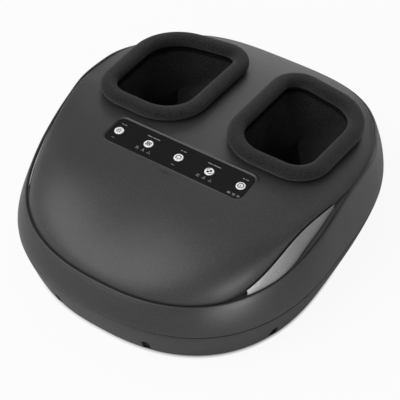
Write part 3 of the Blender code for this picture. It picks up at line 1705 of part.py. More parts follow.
def build_bag(name, side, slot):
    rings = []
    for step in range(BAG_STEPS + 1):
        share = 2 * step / BAG_STEPS - 1
        along = BAG_LENGTH / 2 * math.sin(math.pi / 2 * share)
        swell = max(1 - share**BAG_POWER_SHARE, BAG_EDGE_SHARE)
        waist = 1 - BAG_WAIST_SHARE * (1 - swell)
        ring = []
        for index in range(BAG_COUNT):
            turn = math.tau * index / BAG_COUNT
            across = BAG_WIDTH / 2 * math.cos(turn) * waist
            ring.append(bag_point(side, across, along, BAG_RISE * swell * math.sin(turn)))
        rings.append(ring)
    lofted(name, rings, slot)


def build_feet():
    slot = material("foot_rubber", (0.02, 0.02, 0.02), 0.8)
    top = BASE_BOTTOM_Z + FOOT_RECESS - GAP
    profile = (
        (FOOT_RADIUS - EDGE_CHAMFER, 0),
        (FOOT_RADIUS, EDGE_CHAMFER),
        (FOOT_RADIUS, top),
    )
    for place, (x, y) in zip(("toe", "back"), spots(FOOT_SPOT_SHARES)):
        for word, side in (("left", -1), ("right", 1)):
            turned("foot_" + place + "_" + word, profile, KEY_SEGMENTS, slot, side * x, y)


def build_screws():
    slot = material("screw_steel", (0.35, 0.35, 0.36), 0.4, 1.0)
    seat = screw_seat_z() - GAP
    profile = (
        (SCREW_HEAD_RADIUS, seat - SCREW_HEAD),
        (SCREW_HEAD_RADIUS, seat),
        (SCREW_RADIUS, seat),
        (SCREW_RADIUS, seat + SCREW_LENGTH),
    )
    for place, (x, y) in zip(("toe", "side", "back"), spots(SCREW_SPOT_SHARES)):
        for word, side in (("left", -1), ("right", 1)):
            turned("screw_" + place + "_" + word, profile, SCREW_SEGMENTS, slot, side * x, y)


def build_pairs(turns):
    trim = material("trim_silver", (0.33, 0.33, 0.34), 0.38, 0.35)
    cuff = material("cuff_fabric", (0.03, 0.03, 0.032), 0.95)
    liner = material("liner_fabric", (0.02, 0.02, 0.022), 0.98)
    tub = material("tub_plastic", (0.12, 0.12, 0.13), 0.6)
    heater = material("heater_film", (0.45, 0.22, 0.06), 0.5)
    bag = material("bag_film", (0.5, 0.52, 0.55), 0.45)
    for word, side in (("left", -1), ("right", 1)):
        build_trim("trim_" + word, side, trim, turns)
        build_cuff("cuff_" + word, side, cuff)
        build_liner("liner_" + word, side, liner)
        build_tub("foot_tub_" + word, side, tub)
        build_heater("heater_pad_" + word, side, heater)
        build_bag("air_bag_" + word, side, bag)


def main():
    clear_scene()
    turns = plan_turns(OUTLINE_COUNT)
    frame = panel_frame()
    build_base(turns)
    build_band(turns)
    build_cover(turns, frame)
    build_panel(frame)
    build_keys(frame)
    build_control_board(frame)
    build_pairs(turns)
    build_gears()
    build_heads()
    build_axles()
    build_gear_plate()
    build_bridge()
    build_motor()
    build_pump()
    build_valve()
    build_hose()
    build_power_board()
    build_inlet()
    build_feet()
    build_screws()


main()
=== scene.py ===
"""Looks of the foot massager: finer skins, padded cuffs, key marks, materials, light and camera.

The skins follow the same formulas as the CAD solids that they stand for, inside the same box. The
panel, the crescents' ends, the band's lip and the notches have finer sizes of their own.
"""

import math

import bmesh
import bpy
import numpy as np
from mathutils import Matrix, Vector


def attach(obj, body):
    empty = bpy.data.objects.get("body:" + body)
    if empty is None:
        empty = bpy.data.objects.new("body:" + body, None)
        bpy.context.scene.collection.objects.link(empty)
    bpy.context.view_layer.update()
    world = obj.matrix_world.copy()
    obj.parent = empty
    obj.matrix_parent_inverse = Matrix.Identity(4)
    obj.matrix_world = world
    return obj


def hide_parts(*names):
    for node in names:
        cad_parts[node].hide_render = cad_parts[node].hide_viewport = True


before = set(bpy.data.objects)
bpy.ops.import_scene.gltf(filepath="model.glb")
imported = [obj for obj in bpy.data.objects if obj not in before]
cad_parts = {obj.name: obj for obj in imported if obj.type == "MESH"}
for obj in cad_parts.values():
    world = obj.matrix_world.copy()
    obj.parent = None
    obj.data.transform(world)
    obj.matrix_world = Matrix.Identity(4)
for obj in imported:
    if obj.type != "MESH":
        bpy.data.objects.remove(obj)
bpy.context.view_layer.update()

MM = 0.001
GAP = 0.3 * MM
CUT_OVER = 5 * MM
SIDES = (("left", -1), ("right", 1))


def table(*rows):
    """Millimetres, or rows of them, as an array in metres."""
    return np.array(rows, float) * MM


# Housing plan
WIDTH = 380 * MM
DEPTH = 430 * MM
WIDEST_Y = -20 * MM
TOE_POWER = 2.4
BACK_POWER = 3.3
STATION_INSET = 12 * MM
FINE_COUNT = 240
PLAN_STEPS = 4001

# Base, rolls as (inset, height) rows
BASE_LOW = 2.2 * MM
PARTING = 50 * MM
BASE_TAPER = 13 * MM
BASE_CURVE = 1.25
BASE_ROLL = table((3.2, 0), (1.9, 0.15), (0.8, 0.7))
BASE_ROWS = np.linspace(BASE_LOW + 1.6 * MM, PARTING - 1.2 * MM, 12)
PARTING_ROLL = table((0.85, -0.6), (1.15, -0.25), (1.7, 0))
BASE_WALL = 5 * MM
BASE_INNER_ROWS = table(36, 20)
BASE_FLOOR = 2.5 * MM
RIM_HEIGHT = 4.5 * MM
RIM_WALL = 2.2 * MM

# Notches and holes of the base, profiles over its lower edge
NOTCH_LOW = 3.4 * MM
NOTCH_TOP = 22.5 * MM
NOTCH_HALF = 4.7 * MM
NOTCH_RADII = table(1.2, 1.2, 4.6, 4.6)
NOTCH_DEPTH = 2.8 * MM
NOTCH_TOE_X = 59 * MM
NOTCH_SIDE_Y = -107 * MM
SCREW_PLACES = table((95, -170), (157, 12), (95, 184))
SCREW_WELL = table((5, -4.2), (5, -0.01), (4.2, 0.8), (4.2, 5), (2.3, 5), (2.3, 19))
FOOT_PLACES = table((88, -150), (112, 150))
FOOT_RECESS = table((12.9, -4.2), (12.3, 1.2))
VENT_XS = table(11, 19, 27, 35)
VENT_Y = 96 * MM
VENT_HALVES = table(1.5, 13)
VENT_RADIUS = 1.45 * MM
VENT_HEIGHTS = table(-2, 9)

# Rubber foot over the floor, and supply inlet with (radius, reach past the wall) rows
FOOT_PROFILE = table((7.2, 0.5), (7.6, 0), (10.6, 0), (11.4, 0.25), (11.9, 0.9), (12, 1.4), (12, 3.1))
INLET_Z = 30 * MM
INLET_EDGE_Z = 22 * MM
INLET_HOLE = 6.1 * MM
INLET_PROFILE = table((3.3, -11.2), (3.3, 1.2), (3.6, 1.4), (7.5, 1.4), (8, 0.9), (8, 0), (5.8, 0),
                      (5.8, -12.6), (3.3, -12.6))
INLET_PIN = table((0.95, -12.4), (0.95, -2.4), (0.6, -1.9))

# Band
CHAMFER = 1.4 * MM
BAND_LIFT = 0.8 * MM
BAND_ROLL = table((1.9, 0), (1.2, 0.2), (0.8, 0.7))
BAND_WALL = 2.6 * MM
BAND_CURVE = 1.6
BAND_SHARES = (0.06, 0.14, 0.24, 0.36, 0.48, 0.6, 0.72, 0.83, 0.92)
BAND_INNER_SHARE = 0.55
BAND_INNER_FOOT = table((2.2, 6.1), (-0.6, 4.8))
LIP_WALL = 1.8 * MM
LIP_ROUND = 0.6 * MM
LIP_ROOT = 0.05 * MM
LIP_BACK = table(3.2, 70, 50)
GROOVE_WIDTH = 1.7 * MM
GROOVE_FIT = 0.2 * MM
GROOVE_DEPTH = 1.2 * MM
GROOVE_BACK = table(1, 10, 60)
GROOVE_BITE = (0.6, 0.2)
GROOVE_ROLL = table((0.05, 0.3), (0.15, 0))
GROOVE_FOOT = 0.75 * MM
GROOVE_EDGE = 0.12 * MM
GROOVE_STEP = 0.04 * MM
GROOVE_FALL = table((0.02, -0.3))
STRIP_RISE = table(0.9, 2.3)
STRIP_RUN = (3 * MM, 0.35)
LEDGE_DROP = 7 * MM
LEDGE_REACH = 8 * MM
LEDGE_WALL = 2.5 * MM
LEDGE_ROOT = 1.2 * MM
LEANS = table((-212, 11.5), (-120, 11.5), (-60, 9), (-15, 6.8), (70, 6.8), (100, 8.5), (132, 13),
              (165, 14), (212, 14))
GROOVES = table((-212, 83.5), (-175, 86), (-137, 89.5), (-100, 93.5), (-68, 101.5), (-40, 110),
                (-12, 120), (18, 129.5), (55, 129.5), (92, 126.5), (132, 122.5), (170, 118.5),
                (212, 116))

# Crescents
BITE_LOW_Y = -162 * MM
BITE_HIGH_Y = 30 * MM
BITE_DEPTH = 12 * MM
BITE_POWER = 1.4
BITE_RISE = 25 * MM
BITE_FADE = 0.28
TRIM_TOE_Y = -136 * MM
TRIM_BACK_Y = -4 * MM
TRIM_END = 1 * MM
TRIM_MARGIN = 0.6 * MM
TRIM_FIT = 0.35 * MM
TRIM_POCKET = 4.2 * MM
TRIM_POCKET_Y = -104 * MM
TRIM_POCKET_RUN = 66 * MM
TRIM_SINK = 1.3 * MM
TRIM_CROWN = 1.3 * MM
TRIM_SHADOW = 1 * MM
TRIM_COUNT = 90
TRIM_OUTER_ROLL = table((0, -0.5), (0.15, -0.1))
TRIM_INNER_ROLL = table((-0.1, -0.35), (0, -1))
TRIM_SHARES = (0.04, 0.15, 0.3, 0.45, 0.6, 0.75, 0.88, 0.97)

# Cover dome
COVER_DROP = 1 * MM
COVER_WALL = 3 * MM
COVER_LEANS = np.radians([*range(7), *np.linspace(9, 86, 27)])
COVER_INNER_SHARES = (1.0, 0.95, 0.86, 0.7, 0.45, 0.2)
CROWN_WALL = 5 * MM
CROWN_Z = 141.5 * MM
CROWN_Y = -50 * MM
CROWN_FALL = 0.085
CROWN_SOFT = 40 * MM
DOME_TOE_POWER = 2.0
DOME_SIDE_POWER = 8.0
DOME_ROOT = 0.62

# Cuffs
CUFF_CORNERS = table((28, -3.35), (140.3, -2.7), (145.7, 138.8), (28.4, 158.7))
CUFF_RADII = table(47, 33, 55, 26)
CUFF_WIDTH = 21.5 * MM
CUFF_RISE = 7.4 * MM
CUFF_LEVEL = 7 * MM
CUFF_SEAT = 0.6 * MM
CUFF_SLIM = table(0.8, 0.6)
CUFF_STEPS = 26
CUFF_ACROSS_POWERS = (0.85, 0.6)
CUFF_HEIGHT_POWERS = (0.9, 0.92)
CUFF_HELD = 1.1 * MM
CUFF_FLOOR = 0.4 * MM
CUFF_SWELL = 1.6 * MM
CLOTH_FRAMES = 20
CLOTH = {
    "quality": 6, "mass": 0.25, "use_pressure": True, "uniform_pressure_force": 4.0,
    "tension_stiffness": 18, "compression_stiffness": 12, "bending_stiffness": 0.4,
    "vertex_group_mass": "seat",
}
OPENING_INSET = 3 * MM
OPENING_HEIGHTS = table(80, 150)

# Loose fabric of the wells
WELL_X = 86 * MM
LINER_MARGIN = 9 * MM
LINER_SQUARE = 3.6
LINER_AIM = 0.8
LINER_COUNT = 96
LINER_MOUTH = ((0.06, 2.2), (0.095, -0.8), (0.09, -4), (0.05, -7.5))
LINER_START = 9 * MM
LINER_TOE = table(-121, 51)
# Rows at the sock's mouth that take the painted crease shade
LINER_CREASE_SHADE_ROWS = 3
LINER_SKIN = 0.8 * MM
THROAT_MIDDLE = table(60, 80)
THROAT_TILT = table(44, 6)
THROAT_HALF = 27 * MM
THROAT_SHIFT = -13 * MM
THROAT_DRIFTS = 3
THROAT_SLIM = (0.78, 0.05)
FUNNEL_POWERS = (1.05, 0.86)
THROAT_ROWS = 16
SOCK_STATIONS = table((96, 52, -6, 98, 25), (66, 42, -48, 96, 27), (30, 42, -80, 88, 29),
                      (-32, 41, -102, 80, 32), (-95, 41, -118, 66, 34))
SOCK_SHARES = (0.34, 0.67, 1.0)
FOLDS = ((7, 0.35, 1.0), (12, -0.6, 0.6))
FOLD_DEPTHS = table(0.7, 0.9)
FOLD_ROWS = (2, 6)

# Key panel, profiles over the top of its plate
PANEL_SIZE = table(182, 38.5)
PANEL_RADIUS = 8 * MM
PANEL_WALL = 1.3 * MM
PANEL_TOP = PANEL_WALL + GAP
PANEL_EDGE = table((0, -0.4), (-0.12, -0.1), (-0.3, 0))
PANEL_PLACE = Matrix.Translation((0, -43.5 * MM, 138.6 * MM)) @ Matrix.Rotation(
    math.radians(2.6), 4, "X"
)
PANEL_HOLE = table((5.8, -6.6), (5.8, -0.3), (6.1, 0.02), (6.1, 4.7))
COVER_HOLE = table((8.2, -11.6), (8.2, -3.1), (6.7, -3.1), (6.7, -1))
SEAT_FLARE = table((0, -0.2), (0.5, 0.05), (1.3, 0.5), (2.2, 1.1), (4, 2.8))
BEZEL_ROWS = table((0.25, -1.4), (0.3, -0.12), (0.7, 0.1), (1.4, 0.75), (1.9, 1.1), (2.4, 1.2),
                   (3.1, 1.05), (4.2, 0.6), (5.4, 0.1), (6.6, -0.4))
BEZEL_CREST = 2.4 * MM
BEZEL_RUN = 4.2 * MM
BEZEL_SINK = 0.35 * MM
BEZEL_RISE = 1 * MM
BEZEL_WALLS = table(0.2, 0.8)

# Keys and printed marks
KEY_RADIUS = 5.45 * MM
KEY_PROUD = 0.3 * MM
KEY_ROUND = table(0.7, 0.4)
KEY_STEM = table((2, -4.2), (2, -3), (7.8, -3), (7.8, -1.8))
KEY_PITCH = 40.6 * MM
KEY_XS = [KEY_PITCH * step for step in range(-2, 3)]
KEYS = ("key_heat", "key_air", "key_power", "key_knead", "key_timer")
SIGN_HEIGHT = 0.05
MARK_HEIGHT = 0.04
DASH_SPOTS = ((0,), table(-8, 0, 8), (0,), table(-8, 0, 8), ())
DASH_Y = -12.4 * MM
DASH_HALF = 2.1
DASH_WIDTH = 0.6
TICK_PITCH = 1.2
TICK_YS = (-3.1, -1.3)
TICK_WIDTH = 0.65
BAR_Y = 10.8 * MM
BAR_HALVES = (3.4, 8.4, 3.6, 8.6, 3.8)
BAR_SPLIT = 0.2
BAR_GAP = 0.6
BAR_WIDTH = 1.0
DIGITS = (("10", 6 * MM), ("20", 0), ("30", -6 * MM))
DIGITS_Y = -14.6 * MM
DIGITS_SIZE = 3.8 * MM
DIGITS_HEIGHT = 0.03 * MM

# Studio
CAMERA_PLACE = (0.54144, -0.83144, 1.06175)
CAMERA_AZIMUTH = math.radians(33.07)
CAMERA_ELEVATION = math.radians(46.0)
CAMERA_LENS = 107.46
CAMERA_SENSOR = 36
WHITE = (1, 1, 1, 1)
SKY_DIFFUSE = (0.24, 0.24, 0.243, 1)
SKY_SHINE = {"From_Min": 0.02, "From_Max": 0.62, "To_Min": 0.55, "To_Max": 0.42}
FLOOR_HALF = 6
FLOOR_GREY = 0.72
FLOOR_GLOW = {"From_Min": 0.97, "From_Max": 1.03, "To_Min": 0.0, "To_Max": 0.92}
FLOOR_SHINE = 0.07
# Glowing floor patches, seen only in reflections, that stand in for lamps: (centre, size, share)
FLOOR_GLOW_PATCHES = (((0.4, -0.36, 0), 0.34, 1.5), ((-0.1, 0.9, 0), 0.7, 1.6))
LIGHTS = (
    ("key_left", (-1.08, -1.48, 1.6), (-0.05, -0.05, 0.1), (2.9, 2.4), 61),
    ("top_soft", (0.1, 0.3, 2.3), (0.0, 0.0, 0.1), (2.2, 2.2), 7),
    ("fill_right", (1.76, -1.08, 0.29), (0.12, -0.12, 0.06), (1.0, 0.35), 16),
    ("rim_back", (-0.75, 1.75, 0.7), (0.0, 0.15, 0.12), (1.3, 0.8), 8.5),
)


def smoothstep(t):
    t = np.clip(t, 0, 1)
    return t * t * (3 - 2 * t)


def eased(value, start, run):
    return smoothstep((value - start) / run)


def raised(value, power):
    return np.sign(value) * np.abs(value) ** power


def unit(vectors):
    return vectors / np.linalg.norm(vectors, axis=-1, keepdims=True)


def circle(turns):
    return np.stack([np.cos(turns), np.sin(turns)], -1)


def table_value(rows, y):
    """Smooth curve through a table of (station, value) pairs."""
    xs, vs = rows[:, 0], rows[:, 1]
    around = np.pad(rows, ((1, 1), (0, 0)), "edge")
    steps = around[2:] - around[:-2]
    slopes = steps[:, 1] / steps[:, 0]
    y = np.clip(y, xs[0], xs[-1])
    spot = np.clip(np.searchsorted(xs, y) - 1, 0, len(xs) - 2)
    run = xs[spot + 1] - xs[spot]
    t = (y - xs[spot]) / run
    lift = t * (1 - t) * run * (slopes[spot] * (1 - t) - slopes[spot + 1] * t)
    return vs[spot] + (vs[spot + 1] - vs[spot]) * smoothstep(t) + lift


def plan_end(toe, inset):
    """Power and reach of the plan's toe end, or of its back end where toe is false."""
    reach = DEPTH / 2 + np.where(toe, WIDEST_Y, -WIDEST_Y) - inset
    return np.where(toe, TOE_POWER, BACK_POWER), reach


def plan(turn, inset):
    """Point of the housing's plan; turn runs from the toe end towards +X."""
    across, along = np.sin(turn), np.cos(turn)
    power, reach = plan_end(along > 0, inset)
    x = (WIDTH / 2 - inset) * raised(across, 2 / power)
    return x, WIDEST_Y - reach * raised(along, 2 / power)


def even_turns(count):
    """Turns that space points evenly along the plan."""
    steps = np.linspace(0, math.tau, PLAN_STEPS)
    x, y = plan(steps, 0)
    length = np.concatenate(([0], np.cumsum(np.hypot(np.diff(x), np.diff(y)))))
    return np.interp(length[-1] * np.arange(count) / count, length, steps)


def station(turn):
    return plan(turn, STATION_INSET)[1]


def groove_z(y):
    return table_value(GROOVES, y)


def lip_inset(y):
    return table_value(LEANS, y) + CHAMFER / 2 + LIP_WALL


def bump(y):
    share = np.clip((y - BITE_LOW_Y) / (BITE_HIGH_Y - BITE_LOW_Y), 0, 1)
    return np.sin(math.pi * share) ** BITE_POWER


def cover_inset(y):
    return lip_inset(y) + GROOVE_WIDTH


def cover_edge_z(y):
    return groove_z(y) - COVER_DROP + BITE_RISE * bump(y)


def crown_z(y):
    back = np.maximum(y - CROWN_Y, 0)
    return CROWN_Z - CROWN_FALL * back * back / (back + CROWN_SOFT)


def cover_point(turn, share, wall=0.0, crown_wall=0.0):
    """Points of the cover; share is 1 at its edge and 0 at its pole."""
    along = station(turn)
    inset = cover_inset(along) + wall
    plain = plan(turn, inset)
    bitten = plan(turn, inset + BITE_DEPTH * bump(along))
    fade = eased(share, 1 - BITE_FADE, BITE_FADE)
    x = share * (plain[0] + (bitten[0] - plain[0]) * fade)
    y = WIDEST_Y + share * (plain[1] + (bitten[1] - plain[1]) * fade - WIDEST_Y)
    lean = np.arctan2(
        np.abs(plain[0]) / (WIDTH / 2 - inset),
        (WIDEST_Y - plain[1]) / (DEPTH / 2 + WIDEST_Y - inset),
    )
    blend = smoothstep(lean / (math.pi / 2))
    power = DOME_TOE_POWER + (DOME_SIDE_POWER - DOME_TOE_POWER) * blend
    rise = np.maximum(1 - share**power, 0) ** DOME_ROOT
    foot = cover_edge_z(along) - BITE_RISE * bump(along) * (1 - fade)
    z = foot + (crown_z(y) - crown_wall - foot) * rise
    return np.stack([x, y, z], -1)


def cover_z(x, y):
    """Height of the cover above points of the plan."""
    x, y = np.asarray(x, float), np.asarray(y, float)
    inset = STATION_INSET
    for step in range(2):
        toe = y < WIDEST_Y
        power, reach = plan_end(toe, inset)
        across = (np.abs(x) / (WIDTH / 2 - inset)) ** (power / 2)
        along = (np.abs(y - WIDEST_Y) / reach) ** (power / 2)
        turn = np.arctan2(across, np.where(toe, along, -along))
        inset = cover_inset(station(turn))
    goal = np.hypot(x, y - WIDEST_Y)
    low, high = np.zeros_like(goal), np.ones_like(goal)
    for step in range(18):
        middle = (low + high) / 2
        point = cover_point(turn, middle)
        short = np.hypot(point[..., 0], point[..., 1] - WIDEST_Y) < goal
        low, high = np.where(short, middle, low), np.where(short, high, middle)
    return cover_point(turn, high)[..., 2]


def new_object(name, data):
    item = bpy.data.objects.new(name, data)
    bpy.context.scene.collection.objects.link(item)
    return item


def link(name, mesh, replaces, material, smooth=30, body="housing"):
    """Puts a mesh in the scene, makes it ride its body and stand for its CAD nodes."""
    item = new_object(name, mesh)
    mesh.shade_smooth()
    mesh.set_sharp_from_angle(angle=math.radians(smooth))
    mesh.materials.clear()
    mesh.materials.append(material)
    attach(item, body)
    if replaces:
        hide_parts(*replaces)
    return item


def grid_mesh(name, rings, loop=False, low_tip=None, high_tip=None, caps=False):
    """Mesh over rings of equal point counts, closed by tips, caps or by joining its ends."""
    rings = np.asarray(rings)
    count, width = rings.shape[:2]
    verts = rings.reshape(-1, 3).tolist()
    index = np.arange(count * width).reshape(count, width)
    low, high = (index, np.roll(index, -1, 0)) if loop else (index[:-1], index[1:])
    quads = np.stack([low, np.roll(low, -1, 1), np.roll(high, -1, 1), high], -1)
    faces = quads.reshape(-1, 4).tolist()
    for ring, tip in ((index[0].tolist(), low_tip), (index[-1].tolist(), high_tip)):
        if tip is not None:
            faces += [(a, b, len(verts)) for a, b in zip(ring, ring[1:] + ring[:1])]
            verts.append(tip)
        elif caps:
            faces.append(ring)
    mesh = bpy.data.meshes.new(name)
    mesh.from_pydata(verts, [], faces)
    bm = bmesh.new()
    bm.from_mesh(mesh)
    bmesh.ops.recalc_face_normals(bm, faces=bm.faces)
    bm.to_mesh(mesh)
    bm.free()
    return mesh


def turned_mesh(name, profile, segments=48, x=0.0, y=0.0):
    """Mesh turned about the vertical line through (x, y) from (radius, height) pairs."""
    line = circle(np.linspace(0, math.tau, segments, endpoint=False))
    return grid_mesh(name, [at_height(r * line + (x, y), z) for r, z in profile], caps=True)


def at_height(line, z):
    return np.column_stack([line, np.full(len(line), z)])


def shifted(rows, first, second):
    return [(a + first, b + second) for a, b in rows]


def prism(name, line, heights):
    return grid_mesh(name, [at_height(line, z) for z in heights], caps=True)


def joined_mesh(name, meshes):
    bm = bmesh.new()
    for mesh in meshes:
        bm.from_mesh(mesh)
        bpy.data.meshes.remove(mesh)
    result = bpy.data.meshes.new(name)
    bm.to_mesh(result)
    bm.free()
    return result


def evaluated(item):
    """Mesh of an object after its modifiers; the object is removed."""
    graph = bpy.context.evaluated_depsgraph_get()
    mesh = bpy.data.meshes.new_from_object(item.evaluated_get(graph))
    bpy.data.objects.remove(item, do_unlink=True)
    return mesh


def settled(mesh, steps):
    """Mesh after a list of (modifier type, settings) steps, with nothing left to evaluate."""
    item = new_object("work", mesh)
    for kind, settings in steps:
        step = item.modifiers.new(kind, kind)
        for key, value in settings.items():
            setattr(step, key, value)
    result = evaluated(item)
    result.name = mesh.name
    return result


def carved(mesh, *tool_meshes):
    for tool_mesh in tool_meshes:
        tool = new_object("tool", tool_mesh)
        step = {"operation": "DIFFERENCE", "solver": "EXACT", "object": tool}
        mesh = settled(mesh, [("BOOLEAN", step)])
        bpy.data.objects.remove(tool, do_unlink=True)
    return mesh


def box_corners(x, y, half_x, half_y):
    return [(x + s * half_x, y + t * half_y) for s, t in ((-1, -1), (1, -1), (1, 1), (-1, 1))]


def rounded_line(corners, radii, arc_steps, side_steps=1):
    """Closed outline through rounded corners: its points and their outward directions."""
    corners = [Vector(c) for c in corners]
    radii = np.broadcast_to(radii, len(corners))
    arcs = []
    for index, corner in enumerate(corners):
        before = (corners[index - 1] - corner).normalized()
        after = (corners[(index + 1) % len(corners)] - corner).normalized()
        bend = math.pi - before.angle(after)
        radius = float(radii[index])
        cut = radius * math.tan(bend / 2)
        centre = corner + (before + after).normalized() * (radius / math.cos(bend / 2))
        start = corner + before * cut - centre
        end = corner + after * cut - centre
        first = math.atan2(start.y, start.x)
        sweep = (math.atan2(end.y, end.x) - first + math.pi) % math.tau - math.pi
        turns = first + sweep * np.arange(arc_steps + 1) / arc_steps
        normals = circle(turns)
        arcs.append((np.array(centre) + normals * radius, normals))
    points, normals = [], []
    for index, (spots, outs) in enumerate(arcs):
        points += list(spots)
        normals += list(outs)
        next_spot, next_out = arcs[(index + 1) % len(arcs)]
        for step in range(1, side_steps):
            part = step / side_steps
            points.append(spots[-1] * (1 - part) + next_spot[0] * part)
            normals.append(outs[-1] * (1 - part) + next_out[0] * part)
    return np.array(points), np.array(normals)


def mirror(points, side):
    points = np.array(points, float)
    points[..., 0] *= side
    return points


# Materials


def feed(socket, value):
    """Links an output to an input, or sets the input's constant."""
    if isinstance(value, bpy.types.NodeSocket):
        socket.id_data.links.new(value, socket)
    else:
        socket.default_value = value


def add(tree, kind, output=0, numbered=(), **named):
    """Adds a node with its settings, constants and links, and gives one of its outputs."""
    node = tree.nodes.new("ShaderNode" + kind)
    for key, value in named.items():
        name = key.replace("_", " ")
        if name in node.inputs:
            feed(node.inputs[name], value)
        else:
            setattr(node, key, value)
    for spot, value in dict(numbered).items():
        feed(node.inputs[spot], value)
    return node.outputs[output]


def calc(tree, operation, *values):
    return add(tree, "Math", 0, enumerate(values), operation=operation)


def mixed(tree, share, first, second):
    return add(tree, "Mix", 2, {0: share, 6: first, 7: second}, data_type="RGBA")


def place(tree):
    """Object coordinates, from one node that the tree shares."""
    node = tree.nodes.get("Place")
    return node.outputs["Object"] if node else add(tree, "TexCoord", "Object", name="Place")


def split(tree, vector, axis):
    return add(tree, "SeparateXYZ", axis, {0: vector})


def new_material(name, colour, roughness, metallic=0.0, specular=0.5):
    slot = bpy.data.materials.new(name)
    slot.use_nodes = True
    shader = slot.node_tree.nodes["Principled BSDF"]
    for key, value in (("Base Color", (*colour, 1)), ("Roughness", roughness),
                       ("Metallic", metallic), ("Specular IOR Level", specular)):
        shader.inputs[key].default_value = value
    return slot, slot.node_tree, shader


def noise(tree, scale, detail=3.0):
    return add(tree, "TexNoise", Vector=place(tree), Scale=scale, Detail=detail,
               Roughness=0.55)


def mottled(tree, shader, colour, spread, scale):
    """Varies the base colour a little, lighter and darker, over the surface."""
    ramp = tree.nodes.new("ShaderNodeValToRGB")
    stops = ramp.color_ramp.elements
    for stop, position, factor in ((stops[0], 0.3, 1 - spread), (stops[1], 0.7, 1 + spread)):
        stop.position = position
        stop.color = (*[c * factor for c in colour], 1)
    feed(ramp.inputs["Fac"], noise(tree, scale))
    feed(shader.inputs["Base Color"], ramp.outputs["Color"])


def varied_gloss(tree, shader, low, high, scale):
    span = add(tree, "MapRange", Value=noise(tree, scale, 4.0), To_Min=low, To_Max=high)
    feed(shader.inputs["Roughness"], span)


def bumped(tree, shader, height, strength, distance):
    last = shader.inputs["Normal"]
    more = {"Normal": last.links[0].from_socket} if last.is_linked else {}
    feed(last, add(tree, "Bump", Strength=strength, Distance=distance, Height=height, **more))


def moulded(name, colour, rough, grain=1400, depth=0.04, specular=0.5, metallic=0.0, speckle=0.14):
    """Fine-textured moulded plastic."""
    slot, tree, shader = new_material(name, colour, rough, metallic, specular)
    mottled(tree, shader, colour, speckle, 900)
    varied_gloss(tree, shader, rough - 0.04, rough + 0.04, 60)
    bumped(tree, shader, noise(tree, grain, 2.0), 0.35, depth * MM)
    return slot


def metal(name, colour, rough, stretch=(40, 40, 900)):
    """Machined or stamped metal with fine drawn lines."""
    slot, tree, shader = new_material(name, colour, rough, 1.0)
    scaled = add(tree, "Mapping", Vector=place(tree), Scale=stretch)
    lines = add(tree, "TexNoise", Vector=scaled, Scale=1.0, Detail=5.0, Roughness=0.6)
    mottled(tree, shader, colour, 0.12, 90)
    varied_gloss(tree, shader, rough - 0.08, rough + 0.1, 140)
    bumped(tree, shader, lines, 0.2, 0.05 * MM)
    return slot


def knitted(name, colour, pitch, sheen):
    """Knitted or mesh fabric: crossed rows of loops under a short nap."""
    slot, tree, shader = new_material(name, colour, 0.95, 0.0, 0.15)
    shader.inputs["Sheen Weight"].default_value = sheen
    shader.inputs["Sheen Roughness"].default_value = 0.55
    total = None
    for turn in (math.radians(38), math.radians(-52), math.radians(90)):
        spin = add(tree, "Mapping", Vector=place(tree), Rotation=(turn / 2, turn, turn))
        wave = add(tree, "TexWave", "Fac", Vector=spin, Scale=1 / pitch, Distortion=1.2,
                   Detail=1.0)
        total = calc(tree, "MULTIPLY", total, wave) if total else wave
    mottled(tree, shader, colour, 0.75, 480)
    bumped(tree, shader, total, 0.6, pitch * 0.25)
    bumped(tree, shader, noise(tree, 900, 4.0), 0.5, 0.25 * MM)
    return slot


def painted_depth_shade(slot, low, high, share):
    """Paints shade into a fabric's base colour: darker downwards, towards the depth of a sock, where
    less light reaches.
    """
    tree = slot.node_tree
    base = tree.nodes["Principled BSDF"].inputs["Base Color"]
    span = add(tree, "MapRange", interpolation_type="SMOOTHSTEP", From_Min=low,
               From_Max=high, To_Min=share, To_Max=1.0, Value=split(tree, place(tree), "Z"))
    source = base.links[0].from_socket
    feed(base, add(tree, "VectorMath", 0, {0: source}, operation="SCALE", Scale=span))
    return slot


def circuit(name, colour):
    """Solder mask over copper tracks."""
    slot, tree, shader = new_material(name, colour, 0.35)
    mask, light, track = [(*[c * share for c in colour], 1) for share in (1, 1.25, 2.2)]
    brick = add(tree, "TexBrick", Vector=place(tree), Scale=70.0, Color1=mask,
                Color2=light, Mortar=track, Mortar_Size=0.03)
    feed(shader.inputs["Base Color"], brick)
    varied_gloss(tree, shader, 0.25, 0.45, 200)
    bumped(tree, shader, brick.node.outputs["Fac"], 0.3, 0.05 * MM)
    return slot


COVER = moulded("cover_plastic", (0.02, 0.02, 0.0204), 0.46, speckle=0.6)
BAND = moulded("band_plastic", (0.019, 0.019, 0.0194), 0.4, speckle=0.6)
BASE = moulded("base_plastic", (0.018, 0.018, 0.0184), 0.48, specular=0.4, speckle=0.6)
SILVER = moulded("trim_silver", (0.245, 0.245, 0.25), 0.46, 1600, 0.02, 0.5, 0.65, 0.16)
PANEL = moulded("panel_gloss", (0.004, 0.004, 0.0045), 0.2, 500, 0.004, 0.2, 0.0, 0.3)
KEY = moulded("key_white", (0.86, 0.86, 0.86), 0.4, 900, 0.01, 0.4)
MARK_DARK = moulded("mark_dark", (0.008, 0.008, 0.009), 0.6, 900, 0.01, 0.2)
MARK_PALE = moulded("mark_pale", (0.42, 0.42, 0.42), 0.5, 900, 0.01)
MARK_DIM = moulded("mark_dim", (0.24, 0.24, 0.24), 0.5, 900, 0.01)
CUFF = knitted("cuff_fabric", (0.0112, 0.0112, 0.0116), 1.1 * MM, 0.12)
LINER = knitted("liner_fabric", (0.0105, 0.0105, 0.0107), 1.6 * MM, 0.05)
# The liner's fabric carries painted shade, darker towards the bottom of the sock.
LINER = painted_depth_shade(LINER, 80 * MM, 128 * MM, 0.2)
